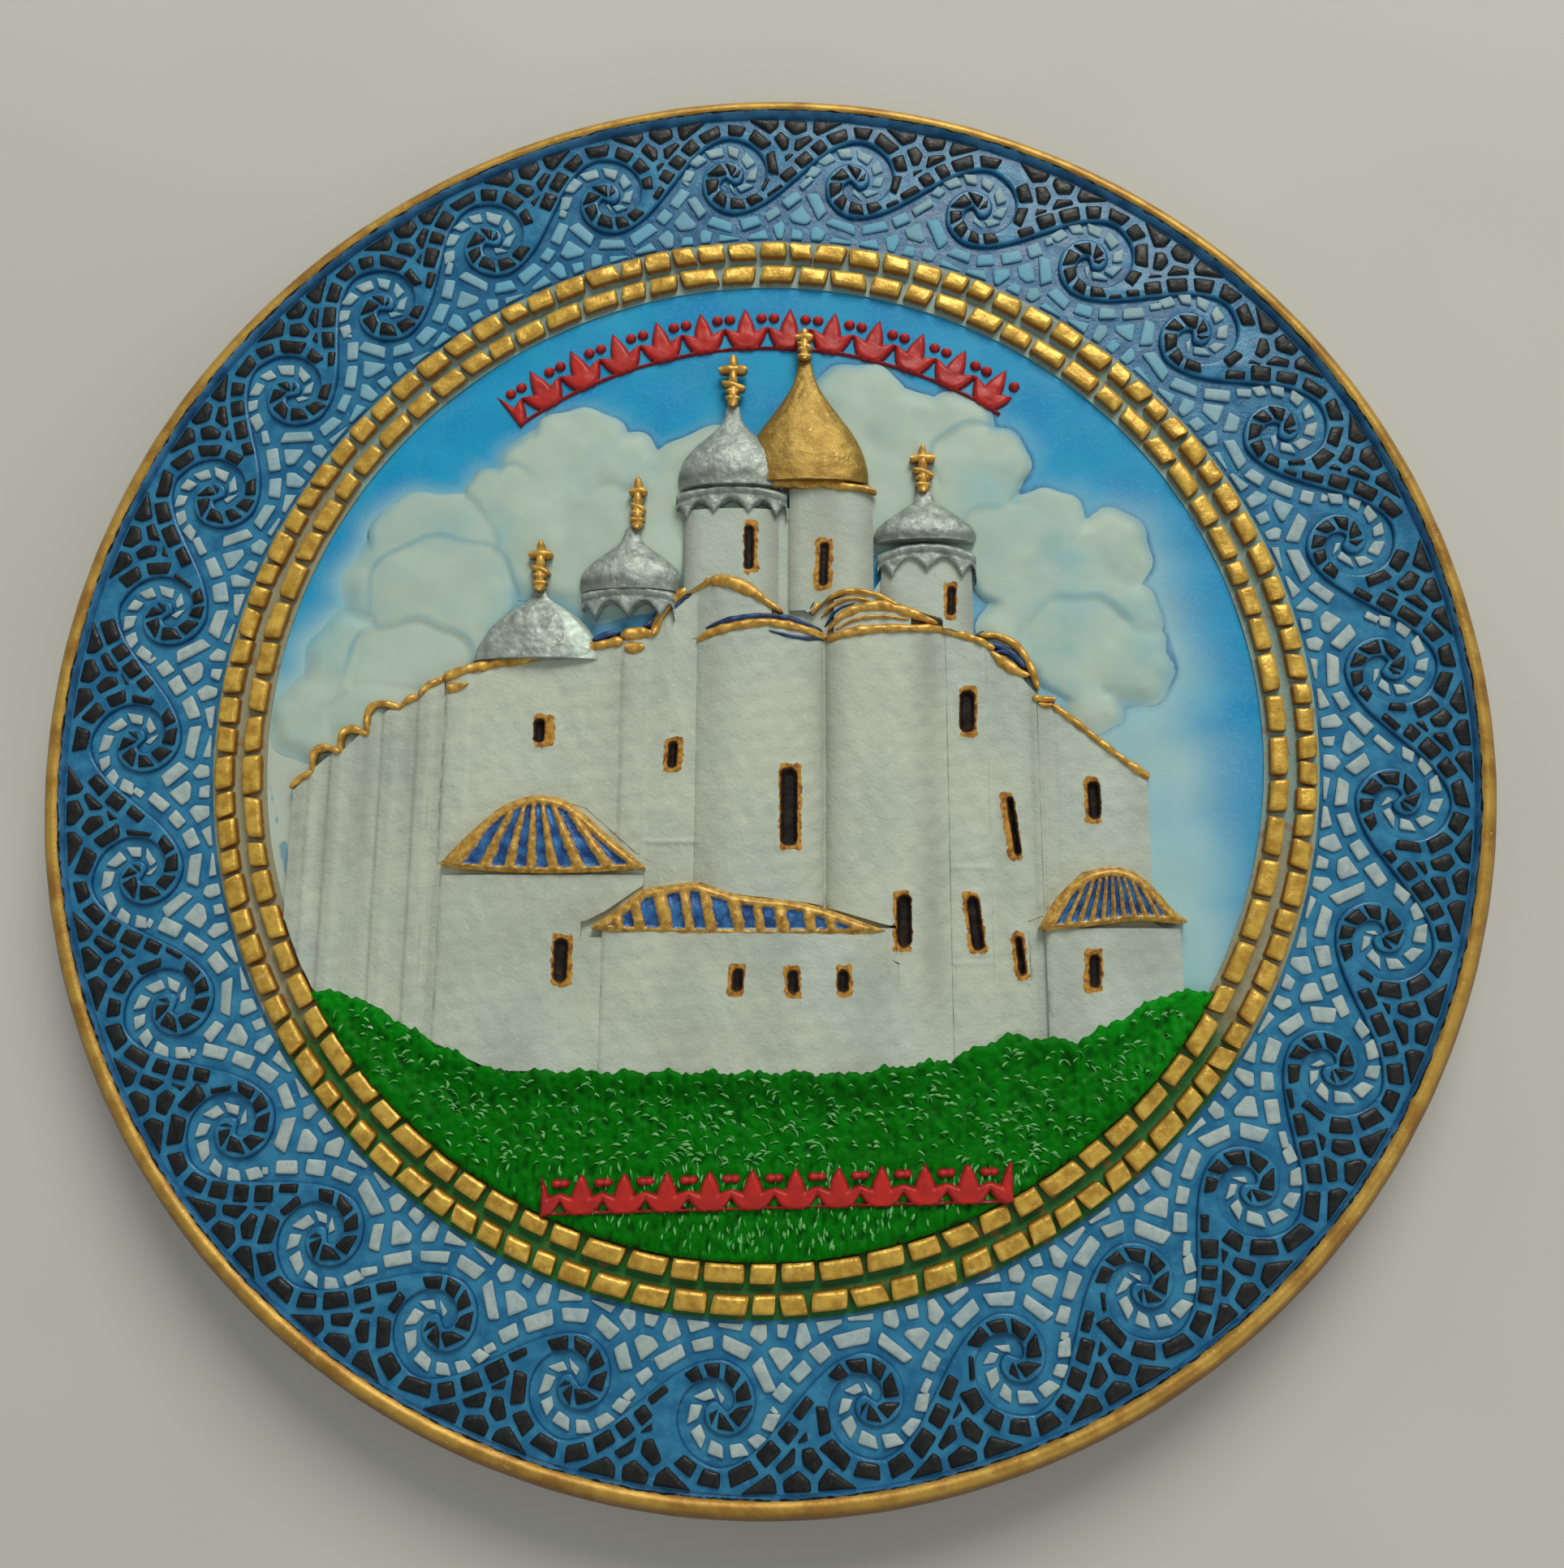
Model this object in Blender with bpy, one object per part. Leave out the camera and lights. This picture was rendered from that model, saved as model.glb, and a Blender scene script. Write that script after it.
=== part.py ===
"""Souvenir relief plate, 8 inches across: a painted casting that lies on its foot ring.

The casting carries a gold lip, a border of running waves, two rows of gold bricks and a
round picture of a white cathedral.  Each painted relief form is an object of its own.
Plan directions: +X is the picture's right, +Y its top, +Z the painted face.
All numbers are millimetres until make_object() turns them into metres.
"""
import math

import bmesh
import bpy
from mathutils import Vector
from mathutils.geometry import tessellate_polygon

MM = 0.001

# ---- driving dimensions -------------------------------------------------------------
PLATE_RADIUS = 101.5      # out to the nose of the gold lip
LIP_INNER = 97.9          # inner wall of the lip
FOOT_INNER = 60.0
FOOT_OUTER = 70.0
RECESS_Z = 5.0            # back of the plate inside the foot ring
RECESS_DRAFT = 2.5        # lean of the foot ring's inner wall
EDGE_LOW_Z = 6.2          # where the sloping back meets the plate's edge
CORE_Z = 10.4             # face of the plain casting under the relief
GAP = 0.3                 # fit gap between neighbouring relief forms
TURN_STEPS = 96           # sides of a turned ring

# ---- heights of the relief forms ----------------------------------------------------
FLOOR_Z = CORE_Z + GAP    # underside of the forms that stand on the casting
SKY_Z = 11.1
LIGHT_FIELD_Z = 11.3
DARK_FIELD_BASE = LIGHT_FIELD_Z + GAP
DARK_FIELD_Z = 12.4
BRICK_JOINT_Z = 11.6      # bottom of the joints between bricks
INNER_BRICK_Z = 12.8
OUTER_BRICK_Z = 13.0
CLOUD_Z = 12.0
WALL_BASE = SKY_Z + GAP
DOME_BASE = CLOUD_Z + GAP
WALL_Z = 12.9
LAWN_Z = 13.1
LIP_CREST_Z = 13.4
TRIM_Z = 13.7
ROOF_Z = 14.6
ROOF_FRAME_Z = 15.2
CUTTER_LOW = 10.0         # reach of the cutters that go right through a relief form
CUTTER_HIGH = 20.0

# ---- border -------------------------------------------------------------------------
WAVES = 29                # running waves around the border
WAVE_PHASE = 6.35         # degrees from +X back to the first eye
EYE_RADIUS = 88.0         # circle on which the eyes of the waves sit
WAVE_TOP = 7.0            # an eye's crest above that circle
WAVE_DIP = 5.9            # an eye's underside below it
WAVE_OUTER = 97.3         # outer edge of the dark field
FIELD_INNER = 77.1
OUTER_BRICKS = 108
OUTER_BRICK_RADII = (74.2, 76.8)
INNER_BRICKS = 84
INNER_BRICK_RADII = (70.4, 72.9)
SKY_RADIUS = 70.1

# ---- hanging loop -------------------------------------------------------------------
WIRE_RADIUS = 0.8
LOOP_RADIUS = 6.0
LOOP_Y = 50.0             # centre of the loop's bend
SOCKET_Y = 45.0           # where the legs enter the casting
LOOP_Z = 2.6              # height of the loop inside the recess
SOCKET_TOP = 8.8          # end of the sockets that hold its legs


# ---- mesh helpers -------------------------------------------------------------------
def clear_scene():
    for item in list(bpy.data.objects):
        bpy.data.objects.remove(item, do_unlink=True)


def linear(channel):
    """One sRGB channel (0-255) as the linear value a shader socket takes."""
    value = channel / 255.0
    if value <= 0.04045:
        return value / 12.92
    return ((value + 0.055) / 1.055) ** 2.4


def paint(name, rgb, roughness, metallic=0.0):
    """A Principled material, made once for each paint."""
    found = bpy.data.materials.get(name)
    if found:
        return found
    made = bpy.data.materials.new(name)
    made.use_nodes = True
    shader = made.node_tree.nodes["Principled BSDF"]
    colour = [linear(channel) for channel in rgb] + [1.0]
    shader.inputs["Base Color"].default_value = colour
    shader.inputs["Roughness"].default_value = roughness
    shader.inputs["Metallic"].default_value = metallic
    made.diffuse_color = colour
    return made


def gold():
    return paint("gold_paint", (200, 158, 62), 0.38, 0.75)


def silver():
    return paint("silver_foil", (186, 190, 192), 0.34, 0.8)


def whitewash():
    return paint("whitewash", (205, 212, 205), 0.55)


def roof_blue():
    return paint("roof_blue", (36, 78, 146), 0.4)


def red_enamel():
    return paint("red_enamel", (188, 48, 42), 0.35)


def make_object(name, points, faces, finish, smooth=False):
    """Link a closed mesh, given in millimetres, as a named object."""
    mesh = bpy.data.meshes.new(name)
    mesh.from_pydata([Vector(p) * MM for p in points], [], faces)
    work = bmesh.new()
    work.from_mesh(mesh)
    bmesh.ops.recalc_face_normals(work, faces=work.faces)
    work.to_mesh(mesh)
    work.free()
    mesh.materials.append(finish)
    if smooth:
        mesh.shade_smooth()
        mesh.set_sharp_from_angle(angle=math.radians(35))
    item = bpy.data.objects.new(name, mesh)
    bpy.context.scene.collection.objects.link(item)
    return item


def polar(radius, angle):
    return (radius * math.cos(angle), radius * math.sin(angle))


def ring(name, section, finish, steps=TURN_STEPS):
    """Turn a closed (radius, z) section that stays clear of the axis about Z."""
    points = []
    faces = []
    count = len(section)
    for step in range(steps):
        angle = 2 * math.pi * step / steps
        for radius, z in section:
            points.append((*polar(radius, angle), z))
    for step in range(steps):
        here = step * count
        after = (step + 1) % steps * count
        for k in range(count):
            n = (k + 1) % count
            faces.append((here + k, after + k, after + n, here + n))
    return make_object(name, points, faces, finish, smooth=True)


def turned_solid(name, profile, finish, steps=TURN_STEPS):
    """Turn an open profile whose two ends are flat faces across the axis."""
    points = []
    faces = []
    count = len(profile)
    for step in range(steps):
        angle = 2 * math.pi * step / steps
        for radius, z in profile:
            points.append((*polar(radius, angle), z))
    for step in range(steps):
        here = step * count
        after = (step + 1) % steps * count
        for k in range(count - 1):
            faces.append((here + k, after + k, after + k + 1, here + k + 1))
    faces.append([step * count for step in range(steps)])
    faces.append([step * count + count - 1 for step in range(steps)])
    return make_object(name, points, faces, finish, smooth=True)


def slab(name, outline, low, high, finish, hole=None):
    """A flat plate between two heights, with the outline of a polygon."""
    loops = [outline] + ([hole] if hole else [])
    flat = [point for loop in loops for point in loop]
    count = len(flat)
    points = [(x, y, low) for x, y in flat] + [(x, y, high) for x, y in flat]
    faces = []
    caps = tessellate_polygon([[Vector((x, y, 0)) for x, y in loop] for loop in loops])
    for a, b, c in caps:
        faces.append((a, b, c))
        faces.append((a + count, b + count, c + count))
    start = 0
    for loop in loops:
        size = len(loop)
        for k in range(size):
            a = start + k
            b = start + (k + 1) % size
            faces.append((a, b, b + count, a + count))
        start += size
    return make_object(name, points, faces, finish)


def through(points):
    """The height at x on the broken line through hand-placed (x, y) points."""
    def height(x):
        if x <= points[0][0]:
            return points[0][1]
        for (x0, y0), (x1, y1) in zip(points, points[1:]):
            if x <= x1:
                return y0 + (y1 - y0) * (x - x0) / (x1 - x0)
        return points[-1][1]
    return height


def stations(start, end, step, extra=()):
    """Evenly spaced x values from start to end, with any extra ones between."""
    count = max(1, round((end - start) / step))
    values = {round(start + (end - start) * k / count, 4) for k in range(count + 1)}
    values |= {x for x in extra if start + 0.2 < x < end - 0.2}
    kept = []
    for x in sorted(values):
        if not kept or x - kept[-1] > 0.15 or x in extra:
            kept.append(x)
    kept[0] = start
    kept[-1] = end
    return kept


def panel(name, xs, bottom, top, face, base, finish):
    """A relief form standing on base: its edges and its face are functions of x."""
    points = []
    faces = []
    for x in xs:
        low = bottom(x)
        high = top(x)
        points += [(x, low, base), (x, low, face(x)), (x, high, face(x)), (x, high, base)]
    for k in range(len(xs) - 1):
        here = 4 * k
        after = here + 4
        for side in range(4):
            n = (side + 1) % 4
            faces.append((here + side, after + side, after + n, here + n))
    last = 4 * (len(xs) - 1)
    faces.append((0, 1, 2, 3))
    faces.append((last, last + 1, last + 2, last + 3))
    return make_object(name, points, faces, finish, smooth=True)


def half_turned(name, centre, profile, base, depth, finish, steps=12):
    """Half a turned form laid on its back: (half width, y) profile, flattened by depth."""
    points = []
    faces = []
    row = steps + 1
    for width, y in profile:
        for step in range(row):
            angle = math.pi * step / steps
            x = centre + width * math.cos(angle)
            points.append((x, y, base + depth * width * math.sin(angle)))
    for level in range(len(profile) - 1):
        here = level * row
        after = here + row
        for step in range(steps):
            faces.append((here + step, here + step + 1, after + step + 1, after + step))
        faces.append((here + steps, here, after, after + steps))
    faces.append(list(range(row)))
    faces.append([(len(profile) - 1) * row + step for step in range(row)])
    return make_object(name, points, faces, finish, smooth=True)


def ribbon(name, path, width, low, high, finish, closed=False):
    """A strip of even width along a path in plan."""
    points = []
    count = len(path)
    for k, (x, y) in enumerate(path):
        if closed:
            before = path[k - 1]
            after = path[(k + 1) % count]
        else:
            before = path[max(k - 1, 0)]
            after = path[min(k + 1, count - 1)]
        into = Vector((x - before[0], y - before[1]))
        out = Vector((after[0] - x, after[1] - y))
        into = (into if into.length else out).normalized()
        out = (out if out.length else into).normalized()
        mitre = (into + out).normalized()
        reach = 0.5 * width / max(mitre.dot(out), 0.6)
        side = Vector((-mitre.y, mitre.x)) * reach
        left = (x + side.x, y + side.y)
        right = (x - side.x, y - side.y)
        points += [(*left, low), (*left, high), (*right, high), (*right, low)]
    faces = []
    for k in range(count if closed else count - 1):
        here = 4 * k
        after = 4 * ((k + 1) % count)
        for corner in range(4):
            n = (corner + 1) % 4
            faces.append((here + corner, after + corner, after + n, here + n))
    if not closed:
        last = 4 * (count - 1)
        faces.append((0, 1, 2, 3))
        faces.append((last, last + 1, last + 2, last + 3))
    return make_object(name, points, faces, finish)


def inset(outline, distance):
    """Corners of a clockwise outline moved inwards so that every edge shifts by distance."""
    moved = []
    count = len(outline)
    for k, corner in enumerate(outline):
        here = Vector(corner)
        into = (here - Vector(outline[k - 1])).normalized()
        out = (Vector(outline[(k + 1) % count]) - here).normalized()
        mitre = (Vector((into.y, -into.x)) + Vector((out.y, -out.x))).normalized()
        reach = distance / mitre.dot(Vector((out.y, -out.x)))
        moved.append((here.x + mitre.x * reach, here.y + mitre.y * reach))
    return moved


def tube(name, path, radius, finish, sides=8):
    """A round wire along a 3-D path."""
    points = []
    faces = []
    path = [Vector(p) for p in path]
    side = Vector((1, 0, 0))
    for k, centre in enumerate(path):
        before = path[max(k - 1, 0)]
        after = path[min(k + 1, len(path) - 1)]
        along = (after - before).normalized()
        side = (side - along * side.dot(along)).normalized()
        other = along.cross(side)
        for s in range(sides):
            angle = 2 * math.pi * s / sides
            offset = side * math.cos(angle) + other * math.sin(angle)
            points.append(centre + offset * radius)
    for k in range(len(path) - 1):
        here = k * sides
        after = here + sides
        for s in range(sides):
            n = (s + 1) % sides
            faces.append((here + s, here + n, after + n, after + s))
    faces.append(list(range(sides)))
    faces.append([(len(path) - 1) * sides + s for s in range(sides)])
    return make_object(name, points, faces, finish, smooth=True)


def cut(item, cutter):
    """Take a hidden cutter out of an object."""
    cutter.hide_render = True
    cutter.display_type = "WIRE"
    modifier = item.modifiers.new("cut", "BOOLEAN")
    modifier.operation = "DIFFERENCE"
    modifier.solver = "EXACT"
    modifier.object = cutter


# ---- casting, lip and back ----------------------------------------------------------
def plate_body():
    profile = [
        (FOOT_INNER - RECESS_DRAFT, RECESS_Z),
        (FOOT_INNER, 0.0),
        (FOOT_OUTER, 0.0),
        (LIP_INNER - GAP, EDGE_LOW_Z),
        (LIP_INNER - GAP, CORE_Z),
    ]
    plaster = paint("bare_casting", (214, 208, 192), 0.8)
    body = turned_solid("plate_body", profile, plaster)
    for side in (-1, 1):
        hole = [polar(WIRE_RADIUS + GAP, 2 * math.pi * k / 12) for k in range(12)]
        outline = [(x + side * LOOP_RADIUS, y + SOCKET_Y) for x, y in hole]
        socket = slab("wire_socket_cutter", outline, RECESS_Z - 1.0, SOCKET_TOP, plaster)
        cut(body, socket)


def rim_lip():
    section = [
        (LIP_INNER, 6.6),
        (100.1, 8.0),
        (PLATE_RADIUS, 10.2),
        (101.1, 12.2),
        (99.8, LIP_CREST_Z),
        (98.5, 13.1),
        (LIP_INNER, 12.2),
    ]
    ring("rim_lip", section, gold())


def hanging_loop():
    """A steel wire cast into the back by its two legs."""
    steel = paint("galvanised_wire", (150, 152, 154), 0.4, 0.9)
    turn_in = 1.6             # bend radius where a leg turns into its socket
    leg = [
        (LOOP_RADIUS, SOCKET_Y, SOCKET_TOP - 0.6),
        (LOOP_RADIUS, SOCKET_Y, LOOP_Z + turn_in),
        (LOOP_RADIUS, SOCKET_Y + 0.3 * turn_in, LOOP_Z + 0.3 * turn_in),
        (LOOP_RADIUS, SOCKET_Y + turn_in, LOOP_Z),
    ]
    bend = []
    for k in range(13):
        x, y = polar(LOOP_RADIUS, math.pi * k / 12)
        bend.append((x, y + LOOP_Y, LOOP_Z))
    other = [(-x, y, z) for x, y, z in reversed(leg)]
    tube("hanging_loop", leg + bend + other, WIRE_RADIUS, steel)


# ---- border -------------------------------------------------------------------------
def wave_line():
    """One wave of the line between the light and the dark field, as (along, up) points.

    It leaves the eye at the origin by its light arm's inner side, passes under the eye,
    climbs over the next eye and winds clockwise into it.
    """
    pitch = 2 * math.pi * EYE_RADIUS / WAVES
    line = []
    turns_out = 15            # points on the way out of the eye
    for k in range(turns_out, 0, -1):
        quarter = 3.75 * k / turns_out
        radius = WAVE_DIP - 1.35 * quarter
        angle = math.radians(270 - 90 * quarter)
        line.append((radius * math.cos(angle), radius * math.sin(angle)))
    climb = 7                 # points on the S between the two eyes
    for k in range(climb):
        t = k / climb
        fall = 2 * t ** 3 - 3 * t ** 2 + 1
        lift = 3 * t ** 2 - 2 * t ** 3
        along = pitch * lift + 26.0 * (t ** 3 - 2 * t ** 2 + t) + 18.0 * (t ** 3 - t ** 2)
        line.append((along, -WAVE_DIP * fall + WAVE_TOP * lift))
    turns_in = 13             # points on the way into the next eye
    for k in range(turns_in):
        quarter = 3.25 * k / turns_in
        radius = WAVE_TOP - 1.9 * quarter
        angle = math.radians(90 - 90 * quarter)
        line.append((pitch + radius * math.cos(angle), radius * math.sin(angle)))
    return line


def border():
    section = [
        (FIELD_INNER, FLOOR_Z),
        (LIP_INNER - GAP, FLOOR_Z),
        (LIP_INNER - GAP, LIGHT_FIELD_Z),
        (FIELD_INNER, LIGHT_FIELD_Z),
    ]
    ring("border_light_field", section, paint("border_blue", (70, 140, 184), 0.5))
    edge = []
    for wave in range(WAVES):
        for along, up in wave_line():
            turn = -(along / EYE_RADIUS) - 2 * math.pi * wave / WAVES
            edge.append(polar(EYE_RADIUS + up, turn + math.radians(WAVE_PHASE)))
    outer = [polar(WAVE_OUTER, 2 * math.pi * k / TURN_STEPS) for k in range(TURN_STEPS)]
    dark = paint("border_dark", (38, 44, 54), 0.45)
    slab("border_dark_waves", outer, DARK_FIELD_BASE, DARK_FIELD_Z, dark, hole=edge)


def brick_ring(name, radii, bricks, top):
    """A row of bricks on one band: joints are notches across it."""
    inner, outer = radii
    pitch = 2 * math.pi / bricks
    joint_half = 0.11         # half a joint, as a share of the pitch
    points = []
    for brick in range(bricks):
        for share, high in ((0.0, BRICK_JOINT_Z), (joint_half, top), (1 - joint_half, top)):
            angle = (brick + share) * pitch
            points.append((*polar(inner, angle), FLOOR_Z))
            points.append((*polar(outer, angle), FLOOR_Z))
            points.append((*polar(outer, angle), high))
            points.append((*polar(inner, angle), high))
    faces = []
    stops = 3 * bricks
    for k in range(stops):
        here = 4 * k
        after = 4 * ((k + 1) % stops)
        for corner in range(4):
            n = (corner + 1) % 4
            faces.append((here + corner, after + corner, after + n, here + n))
    make_object(name, points, faces, gold())


# ---- picture: sky, clouds and lawn --------------------------------------------------
LAWN_POINTS = [
    (-60.5, -35.2), (-54.0, -36.3), (-44.0, -42.0), (-35.0, -46.0), (12.0, -46.2),
    (26.0, -44.2), (33.0, -41.2), (42.0, -42.0), (54.0, -35.8), (60.5, -35.2),
]
LAWN_TOP = through(LAWN_POINTS)
LAWN_TURNS = [x for x, _ in LAWN_POINTS]


def picture_edge(x):
    """The lower edge of the round picture at x."""
    return -math.sqrt(max((SKY_RADIUS - 0.4) ** 2 - x * x, 0.0))


def sky_disc():
    blue = paint("sky_blue", (74, 150, 188), 0.5)
    outline = [polar(SKY_RADIUS, 2 * math.pi * k / TURN_STEPS) for k in range(TURN_STEPS)]
    slab("sky_disc", outline, FLOOR_Z, SKY_Z, blue)


def lawn():
    green = paint("lawn_green", (22, 106, 34), 0.5)
    xs = stations(-59.6, 59.6, 6.0, LAWN_TURNS)
    top = lambda x: max(LAWN_TOP(x), picture_edge(x) + 0.4)
    face = lambda x: LAWN_Z - 0.6 + 0.6 * math.cos(math.pi * x / 130.0)
    panel("lawn", xs, picture_edge, top, face, WALL_BASE, green)


def lobe(x0, y0, x1, y1, bulge, steps=5):
    """Points on an arc from one point towards another, bulging to its left."""
    chord = Vector((x1 - x0, y1 - y0))
    normal = Vector((-chord.y, chord.x))
    points = []
    for k in range(steps):
        t = k / steps
        lift = bulge * 4 * t * (1 - t)
        points.append((x0 + chord.x * t + normal.x * lift, y0 + chord.y * t + normal.y * lift))
    return points


def cloud_bank():
    """One bank of cloud that runs behind the domes from left to right."""
    puffs = [
        (-68.0, 9.0), (-60.0, 21.0), (-53.0, 34.0), (-43.0, 39.5), (-35.5, 43.5),
        (-20.0, 46.5), (-12.5, 44.0), (8.5, 52.0), (19.0, 53.0), (31.0, 50.5),
        (36.5, 40.5), (46.0, 33.5), (54.0, 22.7), (56.0, 15.5), (46.0, 1.5),
    ]
    outline = []
    for start, end in zip(puffs, puffs[1:]):
        outline += lobe(*start, *end, 0.2)
    outline += [puffs[-1], (40.5, 6.6), (37.5, 11.4), (33.0, 15.0), (26.0, 18.0), (19.0, 21.0)]
    outline += [(13.0, 22.4), (7.0, 21.4), (4.0, 20.2), (-2.0, 23.4), (-7.0, 25.2)]
    outline += [(-13.2, 22.0), (-16.8, 17.4), (-44.0, 10.8)]
    slab("cloud_bank", outline, WALL_BASE, CLOUD_Z, paint("cloud_white", (184, 203, 206), 0.55))


# ---- picture: low roofs -------------------------------------------------------------
# Each low roof is its eave height and the broken line over its ridge.
LOW_ROOFS = {
    "north_roof": (-19.0, [(-43.8, -18.2), (-36.0, -11.0), (-30.0, -8.7), (-24.0, -10.5),
                           (-15.3, -18.2)]),
    "chancel_roof": (-27.5, [(-22.8, -26.8), (-16.0, -22.0), (-8.0, -20.9), (-4.0, -22.6),
                             (8.0, -24.0), (17.3, -26.9)]),
    "south_roof": (-27.0, [(37.7, -26.2), (40.5, -22.8), (44.0, -19.5), (49.0, -18.8),
                           (53.0, -21.5), (57.6, -26.2)]),
}
FRAME_WIDTH = 1.1
FRAME_RISE = 0.8          # a frame's outer edge above its ridge line
ROOF_MARGIN = 1.3         # a frame's pointed ends beyond its ridge line


def low_roof(name):
    """Blue roof field inside a gold frame."""
    eave, ridge = LOW_ROOFS[name]
    outline = [(ridge[0][0], eave)] + ridge[1:-1] + [(ridge[-1][0], eave)]
    ribbon(name + "_frame", outline, FRAME_WIDTH, WALL_BASE, ROOF_FRAME_Z, gold(), closed=True)
    field = inset(outline, 0.5 * FRAME_WIDTH + GAP)
    slab(name, field, WALL_BASE, ROOF_Z, roof_blue())


def wall_foot(x):
    """Lower edge of the tall walls: the lawn, or the low roof in front of them."""
    level = max(LAWN_TOP(x), picture_edge(x))
    for _, ridge in LOW_ROOFS.values():
        if ridge[0][0] - ROOF_MARGIN < x < ridge[-1][0] + ROOF_MARGIN:
            level = max(level, through(ridge)(x) + FRAME_RISE)
    return level + GAP


# ---- picture: walls -----------------------------------------------------------------
TRIM_HALF = 0.5
ROOF_NORTH = [(-65.3, -7.3), (-61.5, -3.0), (-58.5, -1.5), (-54.0, 3.0), (-45.0, 8.6),
              (-30.0, 11.8), (-16.6, 14.6)]
ROOF_GABLE = [(-15.2, 15.4), (-12.5, 19.6), (-7.0, 22.8), (-2.0, 21.4), (2.6, 17.9)]
ROOF_CHANCEL = [(-8.6, 14.0), (-4.0, 15.8), (1.0, 16.6), (5.0, 15.9), (8.4, 14.4)]
ROOF_SOUTH_GABLE = [(7.6, 17.6), (10.0, 20.0), (14.0, 20.6), (19.0, 19.0), (24.6, 16.6)]
ROOF_SOUTH = [(9.8, 14.2), (20.0, 15.5), (27.0, 15.0), (32.5, 12.8), (36.5, 9.8),
              (39.0, 5.2), (41.0, 4.2), (53.6, -6.2)]


def beside_trim(points, side):
    """A line that clears the trim along points: side is 1 above it and -1 below it."""
    line = through(points)
    reach = TRIM_HALF + GAP

    def edge(x):
        slopes = [line(x + d + 0.1) - line(x + d - 0.1) for d in (-0.7, -0.3, 0.0, 0.3, 0.7)]
        steepest = max(abs(slope) for slope in slopes) / 0.2
        return line(x) + side * reach * math.sqrt(1 + steepest ** 2)
    return edge


def below(points):
    """Upper edge of a wall: just under the trim that runs over it."""
    return beside_trim(points, -1)


def above(points):
    """Lower edge of a form that stands behind a trim."""
    return beside_trim(points, 1)


def bulge(start, end, rise, base=WALL_Z):
    """Face height of a rounded wall between two x positions."""
    return lambda x: base + rise * math.sin(math.pi * (x - start) / (end - start)) ** 0.7


def flat(height):
    return lambda x: height


def outside_roofs():
    """x positions where the walls' lower edge turns."""
    turns = []
    for _, ridge in LOW_ROOFS.values():
        for end in (ridge[0][0] - ROOF_MARGIN, ridge[-1][0] + ROOF_MARGIN):
            turns += [end - 0.01, end + 0.01]
        turns += [x for x, _ in ridge[1:-1]]
    return turns


def slot(x, y, width, height):
    """Outline of a narrow window with a round head."""
    half = 0.5 * width
    shoulder = y + 0.5 * height - half
    outline = [(x - half, y - 0.5 * height), (x + half, y - 0.5 * height)]
    for k in range(5):
        dx, dy = polar(half, math.pi * k / 4)
        outline.append((x + dx, shoulder + dy))
    return outline


def windows(wall, floor, places):
    """Sink window slots into a wall down to a floor height."""
    for x, y, width, height in places:
        outline = slot(x, y, width, height)
        cutter = slab(wall.name + "_window_cutter", outline, floor, CUTTER_HIGH, whitewash())
        cut(wall, cutter)


def tall_wall(name, start, end, top_points, face, step=2.5, places=()):
    turns = outside_roofs() + LAWN_TURNS + [x for x, _ in top_points]
    xs = stations(start, end, step, turns)
    wall = panel(name, xs, wall_foot, below(top_points), face, WALL_BASE, whitewash())
    windows(wall, WALL_Z - 1.0, places)
    return wall


def walls():
    flutes = lambda x: WALL_Z - 0.3 + 0.35 * math.sin(1.9 * x)
    tall_wall("fluted_wall", -65.0, -44.9, ROOF_NORTH, flutes, step=1.1)
    tall_wall("north_wall", -44.3, -20.0, ROOF_NORTH, flat(WALL_Z), step=6.0,
              places=[(-30.3, 0.9, 3.0, 4.8)])
    tall_wall("north_pilaster", -19.6, -16.6, ROOF_NORTH, flat(WALL_Z + 0.6), step=3.0)
    tall_wall("north_bay", -16.2, -9.2, [(-16.2, 13.0), (-9.2, 13.0)], flat(WALL_Z), step=3.5,
              places=[(-11.9, -2.6, 2.6, 5.2)])
    tall_wall("chancel_wall", -8.8, 8.7, ROOF_CHANCEL, bulge(-8.8, 8.7, 2.0), step=1.7,
              places=[(4.0, -10.3, 2.9, 11.8)])
    tall_wall("south_apse", 9.3, 25.8, ROOF_SOUTH, bulge(9.3, 25.8, 1.8), step=1.7,
              places=[(19.6, -26.0, 2.6, 8.0)])
    tall_wall("south_bay", 26.3, 38.3, ROOF_SOUTH, flat(WALL_Z), step=4.0,
              places=[(28.8, 3.4, 2.2, 7.2), (34.6, -12.8, 2.0, 9.6),
                      (29.2, -26.2, 2.2, 8.4), (35.0, -30.6, 1.9, 6.6)])
    tall_wall("south_wing", 38.9, 53.2, ROOF_SOUTH, flat(WALL_Z - 0.3), step=5.0,
              places=[(46.0, -9.2, 2.0, 6.2)])


def gables():
    """The two raised gables that stand above the wall tops."""
    chancel = above(ROOF_CHANCEL)
    foot = lambda x: max(chancel(x), 15.2) if x > -9.9 else 13.3
    xs = stations(-13.4, 1.4, 1.8, [-9.91, -9.89] + [x for x, _ in ROOF_GABLE + ROOF_CHANCEL])
    panel("north_gable", xs, foot, below(ROOF_GABLE), flat(WALL_Z), WALL_BASE, whitewash())
    xs = stations(10.6, 21.0, 1.7)
    panel("south_gable", xs, above(ROOF_SOUTH), below(ROOF_SOUTH_GABLE), flat(WALL_Z), WALL_BASE,
          whitewash())


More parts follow.
